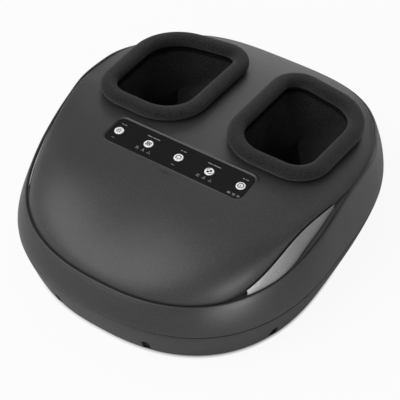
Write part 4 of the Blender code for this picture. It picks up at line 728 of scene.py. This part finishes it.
# Darker copy of the liner fabric: painted shade in the crease under the cuff.
LINER_CREASE_SHADE = knitted("liner_crease_shade_fabric", (0.0025, 0.0025, 0.0026), 1.6 * MM, 0.0)
RUBBER = moulded("foot_rubber", (0.012, 0.012, 0.012), 0.75, 700, 0.08, 0.3)
STEEL = metal("axle_steel", (0.5, 0.5, 0.52), 0.3)
PLATE = metal("plate_steel", (0.42, 0.43, 0.45), 0.42, (900, 30, 30))
ZINC = metal("motor_zinc", (0.5, 0.5, 0.52), 0.36, (30, 30, 700))
SCREW = metal("screw_steel", (0.36, 0.36, 0.37), 0.35)
POM = moulded("gear_pom", (0.68, 0.66, 0.6), 0.42, 800, 0.02)
HEAD = moulded("head_plastic", (0.16, 0.16, 0.18), 0.4, 900, 0.03)
TUB = moulded("tub_plastic", (0.1, 0.1, 0.11), 0.55, 700, 0.06)
PUMP = moulded("pump_plastic", (0.05, 0.05, 0.055), 0.5, 700, 0.05)
VALVE = moulded("valve_plastic", (0.55, 0.55, 0.52), 0.45, 700, 0.04)
HOSE = moulded("hose_rubber", (0.3, 0.31, 0.32), 0.45, 600, 0.03)
FILM = moulded("heater_film", (0.42, 0.19, 0.05), 0.4, 300, 0.03)
BAG = moulded("bag_film", (0.45, 0.47, 0.5), 0.35, 250, 0.06)
BOARD = circuit("board_green", (0.015, 0.1, 0.04))
POWER = circuit("power_board_green", (0.012, 0.085, 0.04))
INLET = moulded("inlet_plastic", (0.016, 0.016, 0.016), 0.35)

# CAD nodes that keep their shape; a trailing underscore stands for both sides
CARRIED = (
    (BOARD, "control_board"), (POWER, "power_board"), (PLATE, "gear_plate motor_bridge"),
    (ZINC, "gear_motor"), (PUMP, "air_pump"), (VALVE, "air_valve"), (HOSE, "air_hose"),
    (TUB, "foot_tub_"), (FILM, "heater_pad_"), (BAG, "air_bag_"),
    (POM, "idler_gear_ kneader_gear_toe_ kneader_gear_heel_"),
    (HEAD, "kneader_head_toe_ kneader_head_heel_"),
    (STEEL, "drive_pinion axle_toe_ axle_heel_ axle_idler_"),
    (SCREW, "screw_toe_ screw_side_ screw_back_"),
)
for slot, names in CARRIED:
    for name in names.split():
        for node in [name + word for word, side in SIDES] if name.endswith("_") else [name]:
            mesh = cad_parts[node].data
            mesh.materials.clear()
            mesh.materials.append(slot)


# Housing skins


def ring_at(turns, inset, z):
    x, y = plan(turns, inset)
    return np.stack([x, y, np.broadcast_to(z, x.shape)], -1)


def base_inset(z):
    share = np.clip(1 - (z - BASE_LOW) / (PARTING - BASE_LOW), 0, 1)
    return CHAMFER / 2 + (BASE_TAPER - CHAMFER / 2) * share**BASE_CURVE


def base_skin():
    turns = even_turns(FINE_COUNT)
    levels = shifted(BASE_ROLL, BASE_TAPER, BASE_LOW)
    levels += [(base_inset(z), z) for z in BASE_ROWS]
    levels += shifted(PARTING_ROLL, 0, PARTING)
    wall, rim = CHAMFER / 2 + BAND_WALL - GAP, PARTING + RIM_HEIGHT
    levels += [(wall, PARTING), (wall, rim), (wall + RIM_WALL, rim)]
    levels += [(base_inset(z) + BASE_WALL, z) for z in BASE_INNER_ROWS]
    levels.append((BASE_TAPER + BASE_WALL, BASE_LOW + BASE_FLOOR))
    return grid_mesh("base_skin", [ring_at(turns, inset, z) for inset, z in levels], caps=True)


def both_sides(places):
    return [(side * x, y) for x, y in places for word, side in SIDES]


def base_tools():
    tools = []
    for rows, places, segments in ((SCREW_WELL, SCREW_PLACES, 32), (FOOT_RECESS, FOOT_PLACES, 48)):
        profile = shifted(rows, 0, BASE_LOW)
        tools += [turned_mesh("hole", profile, segments, x, y) for x, y in both_sides(places)]
    for word, side in SIDES:
        for x in VENT_XS:
            corners = box_corners(side * x, VENT_Y, *VENT_HALVES)
            tools.append(prism("vent", rounded_line(corners, VENT_RADIUS, 6)[0], VENT_HEIGHTS))
    return joined_mesh("base_tools", tools)


def outward(x, y):
    """Direction out of the base's foot outline at a point on it."""
    px, py = plan(np.linspace(0, math.tau, PLAN_STEPS), BASE_TAPER)
    spot = int(np.argmin(np.hypot(px - x, py - y)))
    along = unit(np.array([px[spot + 1] - px[spot - 1], py[spot + 1] - py[spot - 1]]))
    return np.array([along[1], -along[0]]) * (1 if along[1] * x - along[0] * y > 0 else -1)


def notch_mesh(x, y):
    """Round-ended recess in the base's wall, over its bottom edge."""
    normal = outward(x, y)
    across = np.array([-normal[1], normal[0]])
    corners = box_corners(0, (NOTCH_LOW + NOTCH_TOP) / 2, NOTCH_HALF, (NOTCH_TOP - NOTCH_LOW) / 2)
    line = rounded_line(corners, NOTCH_RADII, 8)[0]
    rings = []
    for reach in (-NOTCH_DEPTH, BASE_TAPER):
        flat = np.array([x, y]) + normal * reach + np.outer(line[:, 0], across)
        rings.append(np.column_stack([flat, line[:, 1]]))
    return grid_mesh("notch", rings, caps=True)


def notch_tools():
    half = WIDTH / 2 - BASE_TAPER
    reach = DEPTH / 2 + WIDEST_Y - BASE_TAPER
    toe_y = WIDEST_Y - reach * (1 - (NOTCH_TOE_X / half) ** TOE_POWER) ** (1 / TOE_POWER)
    side_x = half * (1 - ((WIDEST_Y - NOTCH_SIDE_Y) / reach) ** TOE_POWER) ** (1 / TOE_POWER)
    places = both_sides([(NOTCH_TOE_X, toe_y), (side_x, NOTCH_SIDE_Y)])
    return joined_mesh("notches", [notch_mesh(x, y) for x, y in places])


def inlet_face():
    return float(plan(math.pi, base_inset(INLET_Z))[1])


def along_y(name, profile, face, segments=40):
    """Mesh turned about the supply inlet's axis from (radius, reach past the face) pairs."""
    mesh = turned_mesh(name, profile, segments)
    mesh.transform(Matrix.Translation((0, face, INLET_Z)) @ Matrix.Rotation(-math.pi / 2, 4, "X"))
    return mesh


def build_base():
    hole = along_y("hole", ((INLET_HOLE, -BASE_TAPER), (INLET_HOLE, CUT_OVER)), inlet_face())
    mesh = carved(base_skin(), base_tools(), notch_tools(), hole)
    link("base_skin", mesh, ["base_tray"], BASE, 35)


def trim_pocket(y):
    """Width of the step between the band's lip and the crescent."""
    return TRIM_POCKET * eased(y, TRIM_POCKET_Y, TRIM_POCKET_RUN)


def build_band():
    """Band with a rounded lip, a shadow gap at its foot and the ledge inside."""
    turns = even_turns(FINE_COUNT)
    along = station(turns)
    lean, lip, bite = table_value(LEANS, along), lip_inset(along), bump(along)
    drop, drop_y, drop_run = LIP_BACK
    top = groove_z(along) - drop * eased(along, drop_y, drop_run)
    low, start = PARTING + BAND_LIFT, CHAMFER / 2
    ledge = groove_z(along) - LEDGE_DROP
    pairs = [(start + BAND_WALL - 2 * GAP, low)] + shifted(BAND_ROLL, 0, low)
    for share in BAND_SHARES:
        pairs.append((start + lean * share**BAND_CURVE, low + (top - low) * share))
    crest = start + lean - LIP_ROOT
    for turn in np.radians((0, 30, 60, 90, 120, 150, 180)):
        across = (LIP_WALL + LIP_ROUND) / 2 * (1 - math.cos(turn))
        pairs.append((crest + across, top - LIP_WALL / 2 * (1 - math.sin(turn))))
    shallow, shallow_y, shallow_run = GROOVE_BACK
    less, bite_run = GROOVE_BITE
    depth = GROOVE_DEPTH - shallow * eased(along, shallow_y, shallow_run)
    fill = top - depth * (1 - less * smoothstep(bite / bite_run))
    trimmed = (along > TRIM_TOE_Y - TRIM_END) & (along < TRIM_BACK_Y + TRIM_END)
    plain = GROOVE_WIDTH + BITE_DEPTH * bite - GROOVE_FIT
    wide = lip + np.where(trimmed, trim_pocket(along) + TRIM_FIT, plain)
    strip_run, strip_start = STRIP_RUN
    strip = np.where(trimmed, smoothstep((wide - lip) / strip_run - strip_start), 0)
    inner, edge = lip + LIP_ROUND, wide - GROOVE_EDGE
    foot = np.where(trimmed, np.minimum(inner + GROOVE_FOOT, edge), edge)
    reach = lip + LEDGE_REACH + BITE_DEPTH * bite
    under = ledge - LEDGE_WALL
    pairs += shifted(GROOVE_ROLL, inner, fill)
    pairs += [(foot, fill), (foot + GROOVE_STEP, fill + STRIP_RISE[0] * strip)]
    pairs += [(wide, fill + STRIP_RISE[1] * strip)] + shifted(GROOVE_FALL, wide, fill)
    pairs += [(wide, ledge), (reach, ledge), (reach, under), (lip + LEDGE_ROOT, under)]
    wall = start + BAND_WALL
    pairs.append((wall + lean * BAND_INNER_SHARE**BAND_CURVE,
                  np.minimum(low + (top - low) * BAND_INNER_SHARE, under)))
    pairs += shifted(BAND_INNER_FOOT, wall, PARTING)
    mesh = grid_mesh("band_skin", [ring_at(turns, inset, z) for inset, z in pairs], loop=True)
    link("band_skin", mesh, ["side_band"], BAND, 50)


def opening_tool(side):
    line, normals = rounded_line(CUFF_CORNERS, CUFF_RADII, 14, 2)
    return prism("opening", mirror(line - normals * OPENING_INSET, side), OPENING_HEIGHTS)


def panel_outline(margin):
    corners = box_corners(0, 0, PANEL_SIZE[0] / 2 + margin, PANEL_SIZE[1] / 2 + margin)
    return rounded_line(corners, PANEL_RADIUS + margin, 10)[0]


def panel_mesh(name, low, rows):
    """Closed mesh over the panel's outline from (margin, height) rows, the first one given whole."""
    levels = [low] + shifted(rows, low[0], PANEL_TOP)
    return grid_mesh(name, [at_height(panel_outline(m), z) for m, z in levels], caps=True)


def key_holes(profile, segments):
    """Tools for the five key holes from a profile over the panel's top."""
    profile = shifted(profile, 0, PANEL_TOP)
    return joined_mesh("holes", [turned_mesh("hole", profile, segments, x) for x in KEY_XS])


def build_cover():
    turns = even_turns(FINE_COUNT)
    outer = [cover_point(turns, math.cos(lean)) for lean in COVER_LEANS]
    inner = []
    for share in COVER_INNER_SHARES:
        ring = cover_point(turns, share, COVER_WALL, CROWN_WALL)
        ring[:, 2] -= COVER_WALL * share
        inner.append(ring)
    skirts = [outer[0].copy(), inner[0].copy()]
    for skirt in skirts:
        skirt[:, 2] = groove_z(station(turns)) - LEDGE_DROP + GAP
    pole = float(crown_z(WIDEST_Y))
    mesh = grid_mesh("cover_skin", outer[::-1] + skirts + inner, low_tip=(0, WIDEST_Y, pole),
                     high_tip=(0, WIDEST_Y, pole - CROWN_WALL))
    openings = joined_mesh("openings", [opening_tool(side) for word, side in SIDES])
    seat, holes = panel_mesh("seat", (GAP, 0), SEAT_FLARE), key_holes(COVER_HOLE, 40)
    for tool in (seat, holes):
        tool.transform(PANEL_PLACE)
    mesh = carved(mesh, openings, seat, holes)
    link("cover_skin", mesh, ["top_cover"], COVER, 32)


def build_trim(word, side):
    """Silver crescent whose face climbs from the band's lip to the cover's edge."""
    steps = np.linspace(0, math.pi, PLAN_STEPS)
    ends = [float(np.interp(y, station(steps), steps)) for y in (TRIM_TOE_Y, TRIM_BACK_Y)]
    turns = np.linspace(*ends, TRIM_COUNT)
    y = station(turns)
    inner = cover_inset(y) + BITE_DEPTH * bump(y) - TRIM_MARGIN
    inner -= TRIM_SHADOW * np.minimum(bump(y) * 2, 1)
    outer = lip_inset(y) + TRIM_MARGIN + trim_pocket(y)
    seat = groove_z(y) - LEDGE_DROP + GAP
    high = cover_edge_z(y) - TRIM_SINK
    low = groove_z(y) - TRIM_SINK - LIP_WALL
    crown = TRIM_CROWN * np.minimum((inner - outer) / TRIM_POCKET, 1.0)
    pairs = [(outer, seat)] + shifted(TRIM_OUTER_ROLL, outer, low)
    for share in TRIM_SHARES:
        pairs.append((outer + (inner - outer) * share,
                      low + (high - low) * share + crown * math.sin(math.pi * share)))
    pairs += shifted(TRIM_INNER_ROLL, inner, high) + [(inner, seat)]
    rings = np.stack([mirror(ring_at(turns, inset, z), side) for inset, z in pairs], 1)
    mesh = grid_mesh("trim_skin_" + word, rings, caps=True)
    link("trim_skin_" + word, mesh, ["trim_" + word], SILVER, 40)


# Padded cuffs and the fabric of the wells


def cuff_mesh():
    """Ring of the right cuff, a little slimmer than its solid, before it swells."""
    line, normals = rounded_line(CUFF_CORNERS, CUFF_RADII, 18, 8)
    level = crown_z(line[:, 1]) + CUFF_LEVEL
    half, rise = CUFF_WIDTH / 2 - CUFF_SLIM[0], CUFF_RISE - CUFF_SLIM[1]
    rings = []
    for step in range(CUFF_STEPS):
        turn = math.tau * step / CUFF_STEPS
        cosine, sine = math.cos(turn), math.sin(turn)
        above = sine >= 0
        across = abs(cosine) ** CUFF_ACROSS_POWERS[0 if above else 1]
        spot = line + normals * half * math.copysign(across, cosine)
        floor = cover_z(spot[:, 0], spot[:, 1]) + CUFF_SEAT
        high = level + rise * max(sine, 0) ** CUFF_HEIGHT_POWERS[0]
        low = level - np.maximum(level - floor, 0) * max(-sine, 0) ** CUFF_HEIGHT_POWERS[1]
        rings.append(np.column_stack([spot, np.maximum(high if above else low, floor)]))
    return grid_mesh("cuff", np.stack(rings, 1), loop=True)


def swollen(mesh, limit):
    """Inflates a closed mesh as cloth; its seat is held and no point moves past the limit."""
    item = new_object("swelling", mesh)
    rest = np.array([v.co for v in mesh.vertices])
    floor = cover_z(np.abs(rest[:, 0]), rest[:, 1])
    held = item.vertex_groups.new(name="seat")
    held.add([int(i) for i in np.nonzero(rest[:, 2] - floor < CUFF_HELD)[0]], 1.0, "REPLACE")
    cloth = item.modifiers.new("cloth", "CLOTH")
    for key, value in CLOTH.items():
        setattr(cloth.settings, key, value)
    cloth.settings.effector_weights.gravity = 0.0
    cloth.collision_settings.use_collision = False
    for step in range(CLOTH_FRAMES):
        bpy.context.scene.frame_set(step + 1)
    graph = bpy.context.evaluated_depsgraph_get()
    after = item.evaluated_get(graph).to_mesh()
    moved = np.array([v.co for v in after.vertices]) - rest
    reach = np.linalg.norm(moved, axis=1, keepdims=True)
    moved *= np.minimum(1.0, limit / np.maximum(reach, 1e-9))
    item.modifiers.clear()
    bpy.context.scene.frame_set(1)
    co = rest + moved
    co[:, 2] = np.maximum(co[:, 2], floor + CUFF_FLOOR)
    mesh.vertices.foreach_set("co", co.astype(np.float32).ravel())
    mesh.update()
    bpy.data.objects.remove(item, do_unlink=True)
    return mesh


def build_cuffs():
    mesh = cuff_mesh()
    mesh = swollen(mesh, CUFF_SWELL)
    smooth = {"factor": 0.5, "iterations": 3}
    mesh = settled(mesh, [("SMOOTH", smooth), ("SUBSURF", {"levels": 1, "render_levels": 1})])
    for word, side in SIDES:
        piece = mesh.copy()
        if side < 0:
            piece.transform(Matrix.Scale(-1, 4, (1, 0, 0)))
            piece.flip_normals()
        pad = link("cuff_pad_" + word, piece, ["cuff_" + word], CUFF, 60)
    bpy.data.meshes.remove(mesh)


def liner_rings(side):
    """Rings of the loose sock: a funnel from the mouth to the throat, then the way to the toes."""
    line, normals = rounded_line(CUFF_CORNERS, CUFF_RADII, 20, 14)
    inner = line - normals * LINER_MARGIN
    centre = inner.mean(0)
    turns = math.tau * np.arange(LINER_COUNT) / LINER_COUNT
    sine, cosine = np.sin(turns), np.cos(turns)
    aim = np.arctan2(raised(sine, LINER_AIM), raised(cosine, LINER_AIM))
    angle = np.arctan2(inner[:, 1] - centre[1], inner[:, 0] - centre[0])
    order = np.argsort(angle)
    reach = np.hypot(*(inner - centre).T)[order]
    far = np.interp(aim, angle[order], reach, period=math.tau)
    mouth = centre + circle(aim) * far[:, None]
    top = cover_z(mouth[:, 0], mouth[:, 1])
    less, front = THROAT_SLIM
    slim = 1 - less * eased(sine, front, 1 - front)
    throat = np.stack([WELL_X + THROAT_SHIFT * side + THROAT_HALF * cosine * slim,
                       THROAT_MIDDLE[0] + THROAT_TILT[0] * sine,
                       THROAT_MIDDLE[1] + THROAT_TILT[1] * sine], -1)
    start = np.column_stack([mouth, top - LINER_START])
    rings = [np.column_stack([mouth + (mouth - centre) * wide, top + rise * MM])
             for wide, rise in LINER_MOUTH]
    for share in np.linspace(0, 1, THROAT_ROWS):
        ring = start + (throat - start) * share ** FUNNEL_POWERS[0]
        ring[:, 2] = start[:, 2] + (throat[:, 2] - start[:, 2]) * share ** FUNNEL_POWERS[1]
        rings.append(ring)
    across, along = raised(cosine, 2 / LINER_SQUARE), raised(sine, 2 / LINER_SQUARE)
    keys = [throat]
    for index, (back_y, back_z, front_y, front_z, wide) in enumerate(SOCK_STATIONS):
        y = (back_y + front_y) / 2 + (back_y - front_y) / 2 * along
        z = (back_z + front_z) / 2 + (back_z - front_z) / 2 * along
        drift = THROAT_SHIFT * side * max(0, 1 - (index + 1) / THROAT_DRIFTS)
        keys.append(np.column_stack([WELL_X + drift + wide * across, y, z]))
    for before, after in zip(keys, keys[1:]):
        for share in SOCK_SHARES:
            rings.append(before + (after - before) * share)
    rings = np.array(rings)
    spots = np.arange(len(rings))[:, None]
    fold = sum(part * np.sin(turns * count + spots * twist) for count, twist, part in FOLDS)
    pull = (FOLD_DEPTHS[0] * fold + FOLD_DEPTHS[1]) * eased(spots, *FOLD_ROWS)
    return rings + unit(rings.mean(1, keepdims=True) - rings) * pull[:, :, None]


def build_liners():
    """Sock of each well; the rows at its mouth, in the cuff's crease, take a darker copy of its fabric
    as painted shade.
    """
    for word, side in SIDES:
        tip = (side * WELL_X, *LINER_TOE)
        mesh = grid_mesh("liner_skin", mirror(liner_rings(side), side), high_tip=tip)
        for slot in (LINER, LINER_CREASE_SHADE):
            mesh.materials.append(slot)
        for face in mesh.polygons:
            face.material_index = int(face.index < LINER_CREASE_SHADE_ROWS * LINER_COUNT)
        mesh = settled(mesh, [("SOLIDIFY", {"thickness": LINER_SKIN, "offset": 0.0})])
        marks = np.empty(len(mesh.polygons), np.int32)
        mesh.polygons.foreach_get("material_index", marks)
        item = link("liner_skin_" + word, mesh, ["liner_" + word], LINER, 70)
        mesh.materials.append(LINER_CREASE_SHADE)
        mesh.polygons.foreach_set("material_index", marks)


# Key panel


def build_panel():
    mesh = carved(panel_mesh("panel_skin", (0, GAP), PANEL_EDGE), key_holes(PANEL_HOLE, 56))
    mesh.transform(PANEL_PLACE)
    link("panel_skin", mesh, ["control_panel"], PANEL, 18)


def build_bezel():
    """Low rounded frame round the panel, which runs out into the cover."""
    rings = []
    for margin, rise in BEZEL_ROWS:
        flat = panel_outline(margin)
        ring = np.array([PANEL_PLACE @ Vector((x, y, PANEL_TOP + rise)) for x, y in flat])
        share = eased(margin, BEZEL_CREST, BEZEL_RUN)
        under = cover_z(ring[:, 0], ring[:, 1]) - BEZEL_SINK
        ring[:, 2] += (np.minimum(under, ring[:, 2] + BEZEL_RISE) - ring[:, 2]) * share
        rings.append(ring)
    ends = [rings[0].copy(), rings[-1].copy()]
    for ring, wall in zip(ends, BEZEL_WALLS):
        ring[:, 2] -= wall
    mesh = grid_mesh("panel_bezel", ends[:1] + rings + ends[1:], loop=True)
    link("panel_bezel", mesh, (), COVER, 50)


def ribbon(points, width, height, closed=False):
    """Flat raised line through points of the panel's plane, all in millimetres."""
    points = np.array(points, float) * MM
    if closed:
        along = np.roll(points, -1, 0) - np.roll(points, 1, 0)
    else:
        along = np.gradient(points, axis=0)
    along = unit(along)
    side = np.stack([-along[:, 1], along[:, 0]], -1) * width * MM / 2
    rings = [at_height(points + offset, z)
             for offset, z in ((side, 0), (side, height * MM), (-side, height * MM), (-side, 0))]
    return grid_mesh("ribbon", np.stack(rings, 1), loop=closed, caps=not closed)


def arc(radius, start, end, steps):
    return radius * circle(np.radians(np.linspace(start, end, steps)))


def sign_strokes(name):
    """Generic sign of a key as (points, width, closed) strokes; up is away from the user."""
    if name == "key_heat":
        rays = [np.outer((2.5, 3.7), circle(turn)) for turn in math.tau / 8 * np.arange(8)]
        return [(arc(1.5, 0, 345, 30), 0.9, True)] + [(ray, 0.9, False) for ray in rays]
    if name == "key_air":
        ys = np.linspace(-2.8, 2.8, 20)
        return [(np.stack([x + 0.5 * np.sin(ys * 1.5), ys], -1), 1.35, False) for x in (-2.2, 0, 2.2)]
    if name == "key_power":
        return [(arc(2.9, 125, 415, 36), 1.1, False), ([(0, 0.6), (0, 3.9)], 1.1, False)]
    if name == "key_knead":
        return [(arc(3.7, start, start + 66, 14), 1.0, False) for start in (102, 282)]
    hands = [(0, 2.0), (0, 0), (1.6, 0)]
    return [(arc(3.3, 0, 350, 36), 1.0, True), (hands, 0.95, False)]


def pictogram(name):
    parts = [ribbon(points, width, SIGN_HEIGHT, closed) for points, width, closed in sign_strokes(name)]
    if name == "key_knead":
        profile = table((1.6, 0), (1.6, SIGN_HEIGHT))
        parts += [turned_mesh("dot", profile, 24, x, y) for x, y in arc(1.8 * MM, 45, 225, 2)]
    return parts


def place_on_panel(meshes, name, x, y, z, material, body="housing"):
    """Puts flat meshes on the panel, turned to be read from the toe end."""
    mesh = joined_mesh(name, meshes)
    mesh.transform(PANEL_PLACE @ Matrix.Translation((x, y, z)) @ Matrix.Rotation(math.pi, 4, "Z"))
    link(name, mesh, (), material, 30, body)


def build_keys():
    top = PANEL_TOP + KEY_PROUD
    profile = [*KEY_STEM, (KEY_RADIUS, KEY_STEM[-1][1])]
    for turn in np.radians(np.linspace(0, 90, 6)):
        profile.append((KEY_RADIUS - KEY_ROUND[0] * (1 - math.cos(turn)),
                        top - KEY_ROUND[1] * (1 - math.sin(turn))))
    for name, x in zip(KEYS, KEY_XS):
        mesh = turned_mesh(name, profile, 56)
        mesh.transform(PANEL_PLACE @ Matrix.Translation((x, 0, 0)))
        link(name + "_cap", mesh, [name], KEY, 40, name)
        place_on_panel(pictogram(name), name + "_sign", x, 0, top, MARK_DARK, name)


def digits(text):
    curve = bpy.data.curves.new("digits", "FONT")
    curve.body = text
    curve.size = DIGITS_SIZE
    curve.align_x = curve.align_y = "CENTER"
    curve.extrude = DIGITS_HEIGHT
    return evaluated(new_object("digits", curve))


def build_marks():
    """Printed bars, dashes, level ticks and timer digits on the panel."""
    for index, (x, offsets, long) in enumerate(zip(KEY_XS, DASH_SPOTS, BAR_HALVES)):
        for spot, offset in enumerate(offsets):
            meshes = [ribbon([(-DASH_HALF, 0), (DASH_HALF, 0)], DASH_WIDTH, MARK_HEIGHT)]
            for level in range(spot + 1 if len(offsets) > 1 else 0):
                across = (level - spot / 2) * TICK_PITCH
                meshes.append(ribbon([(across, y) for y in TICK_YS], TICK_WIDTH, MARK_HEIGHT))
            name = "panel_mark_%d_%d" % (index, spot)
            place_on_panel(meshes, name, x - offset, DASH_Y, PANEL_TOP, MARK_DIM)
        middle = long * BAR_SPLIT
        bars = [ribbon([(a, 0), (b, 0)], BAR_WIDTH, MARK_HEIGHT)
                for a, b in ((-long, middle - BAR_GAP), (middle + BAR_GAP, long))]
        place_on_panel(bars, "panel_bar_%d" % index, x, BAR_Y, PANEL_TOP, MARK_DIM)
    for text, offset in DIGITS:
        place_on_panel([digits(text)], "panel_digits_" + text, KEY_XS[-1] + offset, DIGITS_Y,
                       PANEL_TOP + MARK_HEIGHT * MM, MARK_PALE)


# Small outer pieces


def build_feet():
    for end, (x, y) in zip(("toe", "back"), FOOT_PLACES):
        for word, side in SIDES:
            name = "foot_%s_%s" % (end, word)
            mesh = turned_mesh(name, FOOT_PROFILE, 56, side * x, y)
            link(name + "_pad", mesh, [name], RUBBER, 40)


def build_inlet():
    face = inlet_face() + float(base_inset(INLET_EDGE_Z) - base_inset(INLET_Z)) + GAP
    socket = along_y("inlet", INLET_PROFILE, face)
    link("inlet_socket", socket, ["dc_inlet"], INLET, 40)
    link("inlet_pin", along_y("inlet_pin", INLET_PIN, face, 24), (), STEEL, 40)


# Stage


def area_light(name, spot, aim, size, power):
    lamp = bpy.data.lights.new(name, "AREA")
    lamp.shape = "RECTANGLE"
    lamp.size, lamp.size_y = size
    lamp.energy = power
    item = new_object(name, lamp)
    item.location = spot
    item.rotation_euler = (Vector(aim) - Vector(spot)).to_track_quat("-Z", "Y").to_euler()


def build_world():
    """White to the camera, darker to the object, and brighter low down in its reflections."""
    world = bpy.data.worlds.new("studio")
    bpy.context.scene.world = world
    world.use_nodes = True
    tree = world.node_tree
    ray = tree.nodes.new("ShaderNodeLightPath").outputs
    height = split(tree, add(tree, "TexCoord", "Generated"), "Z")
    shine = add(tree, "MapRange", Value=height, **SKY_SHINE)
    sky = mixed(tree, ray["Is Glossy Ray"], SKY_DIFFUSE, shine)
    feed(tree.nodes["Background"].inputs["Color"], mixed(tree, ray["Is Camera Ray"], sky, WHITE))


def footprint_share(tree):
    """Share of white glow on the floor: none under the base, full a little outside it."""
    powers = []
    for axis, middle, reach in (("X", 0.0, WIDTH / 2), ("Y", WIDEST_Y, DEPTH / 2 + WIDEST_Y)):
        offset = calc(tree, "SUBTRACT", split(tree, place(tree), axis), middle)
        share = calc(tree, "ABSOLUTE", calc(tree, "DIVIDE", offset, reach - BASE_TAPER))
        powers.append(calc(tree, "POWER", share, TOE_POWER))
    return add(tree, "MapRange", Value=calc(tree, "ADD", *powers), **FLOOR_GLOW)


def reflected_glow_share(tree):
    """Share of white glow that the floor shows in reflections: faint all over, with glowing patches
    behind the object and at its toe corner that stand in for lamps.
    """
    total = FLOOR_SHINE
    for centre, size, share in FLOOR_GLOW_PATCHES:
        spot = add(tree, "Mapping", vector_type="TEXTURE", Vector=place(tree),
                   Location=centre, Scale=(size, size, size))
        fade = add(tree, "TexGradient", "Fac", gradient_type="SPHERICAL", Vector=spot)
        total = calc(tree, "MULTIPLY_ADD", fade, share, total)
    return total


def build_floor():
    mesh = bpy.data.meshes.new("floor")
    corners = box_corners(0, 0, FLOOR_HALF, FLOOR_HALF)
    mesh.from_pydata([(x, y, 0) for x, y in corners], [], [(0, 1, 2, 3)])
    slot, tree, shader = new_material("floor_white", [FLOOR_GREY] * 3, 0.9, 0.0, 0.1)
    glow = add(tree, "Emission", Color=WHITE)
    ray = tree.nodes.new("ShaderNodeLightPath").outputs
    shine = calc(tree, "MULTIPLY", ray["Is Glossy Ray"], reflected_glow_share(tree))
    seen = calc(tree, "ADD", ray["Is Camera Ray"], shine)
    share = calc(tree, "MULTIPLY", seen, footprint_share(tree))
    surface = add(tree, "MixShader", 0, {0: share, 1: shader.outputs["BSDF"], 2: glow})
    feed(tree.nodes["Material Output"].inputs["Surface"], surface)
    mesh.materials.append(slot)
    floor = new_object("floor", mesh)


def build_camera():
    lens = bpy.data.cameras.new("camera")
    lens.lens = CAMERA_LENS
    lens.sensor_width = CAMERA_SENSOR
    camera = new_object("camera", lens)
    camera.location = CAMERA_PLACE
    camera.rotation_euler = (math.pi / 2 - CAMERA_ELEVATION, 0, CAMERA_AZIMUTH)
    bpy.context.scene.camera = camera


build_world()
build_floor()
for light in LIGHTS:
    area_light(*light)
build_camera()
bpy.context.scene.view_settings.view_transform = "Standard"
build_base()
build_band()
build_cover()
for word, side in SIDES:
    build_trim(word, side)
build_cuffs()
build_liners()
build_panel()
build_bezel()
build_keys()
build_marks()
build_feet()
build_inlet()
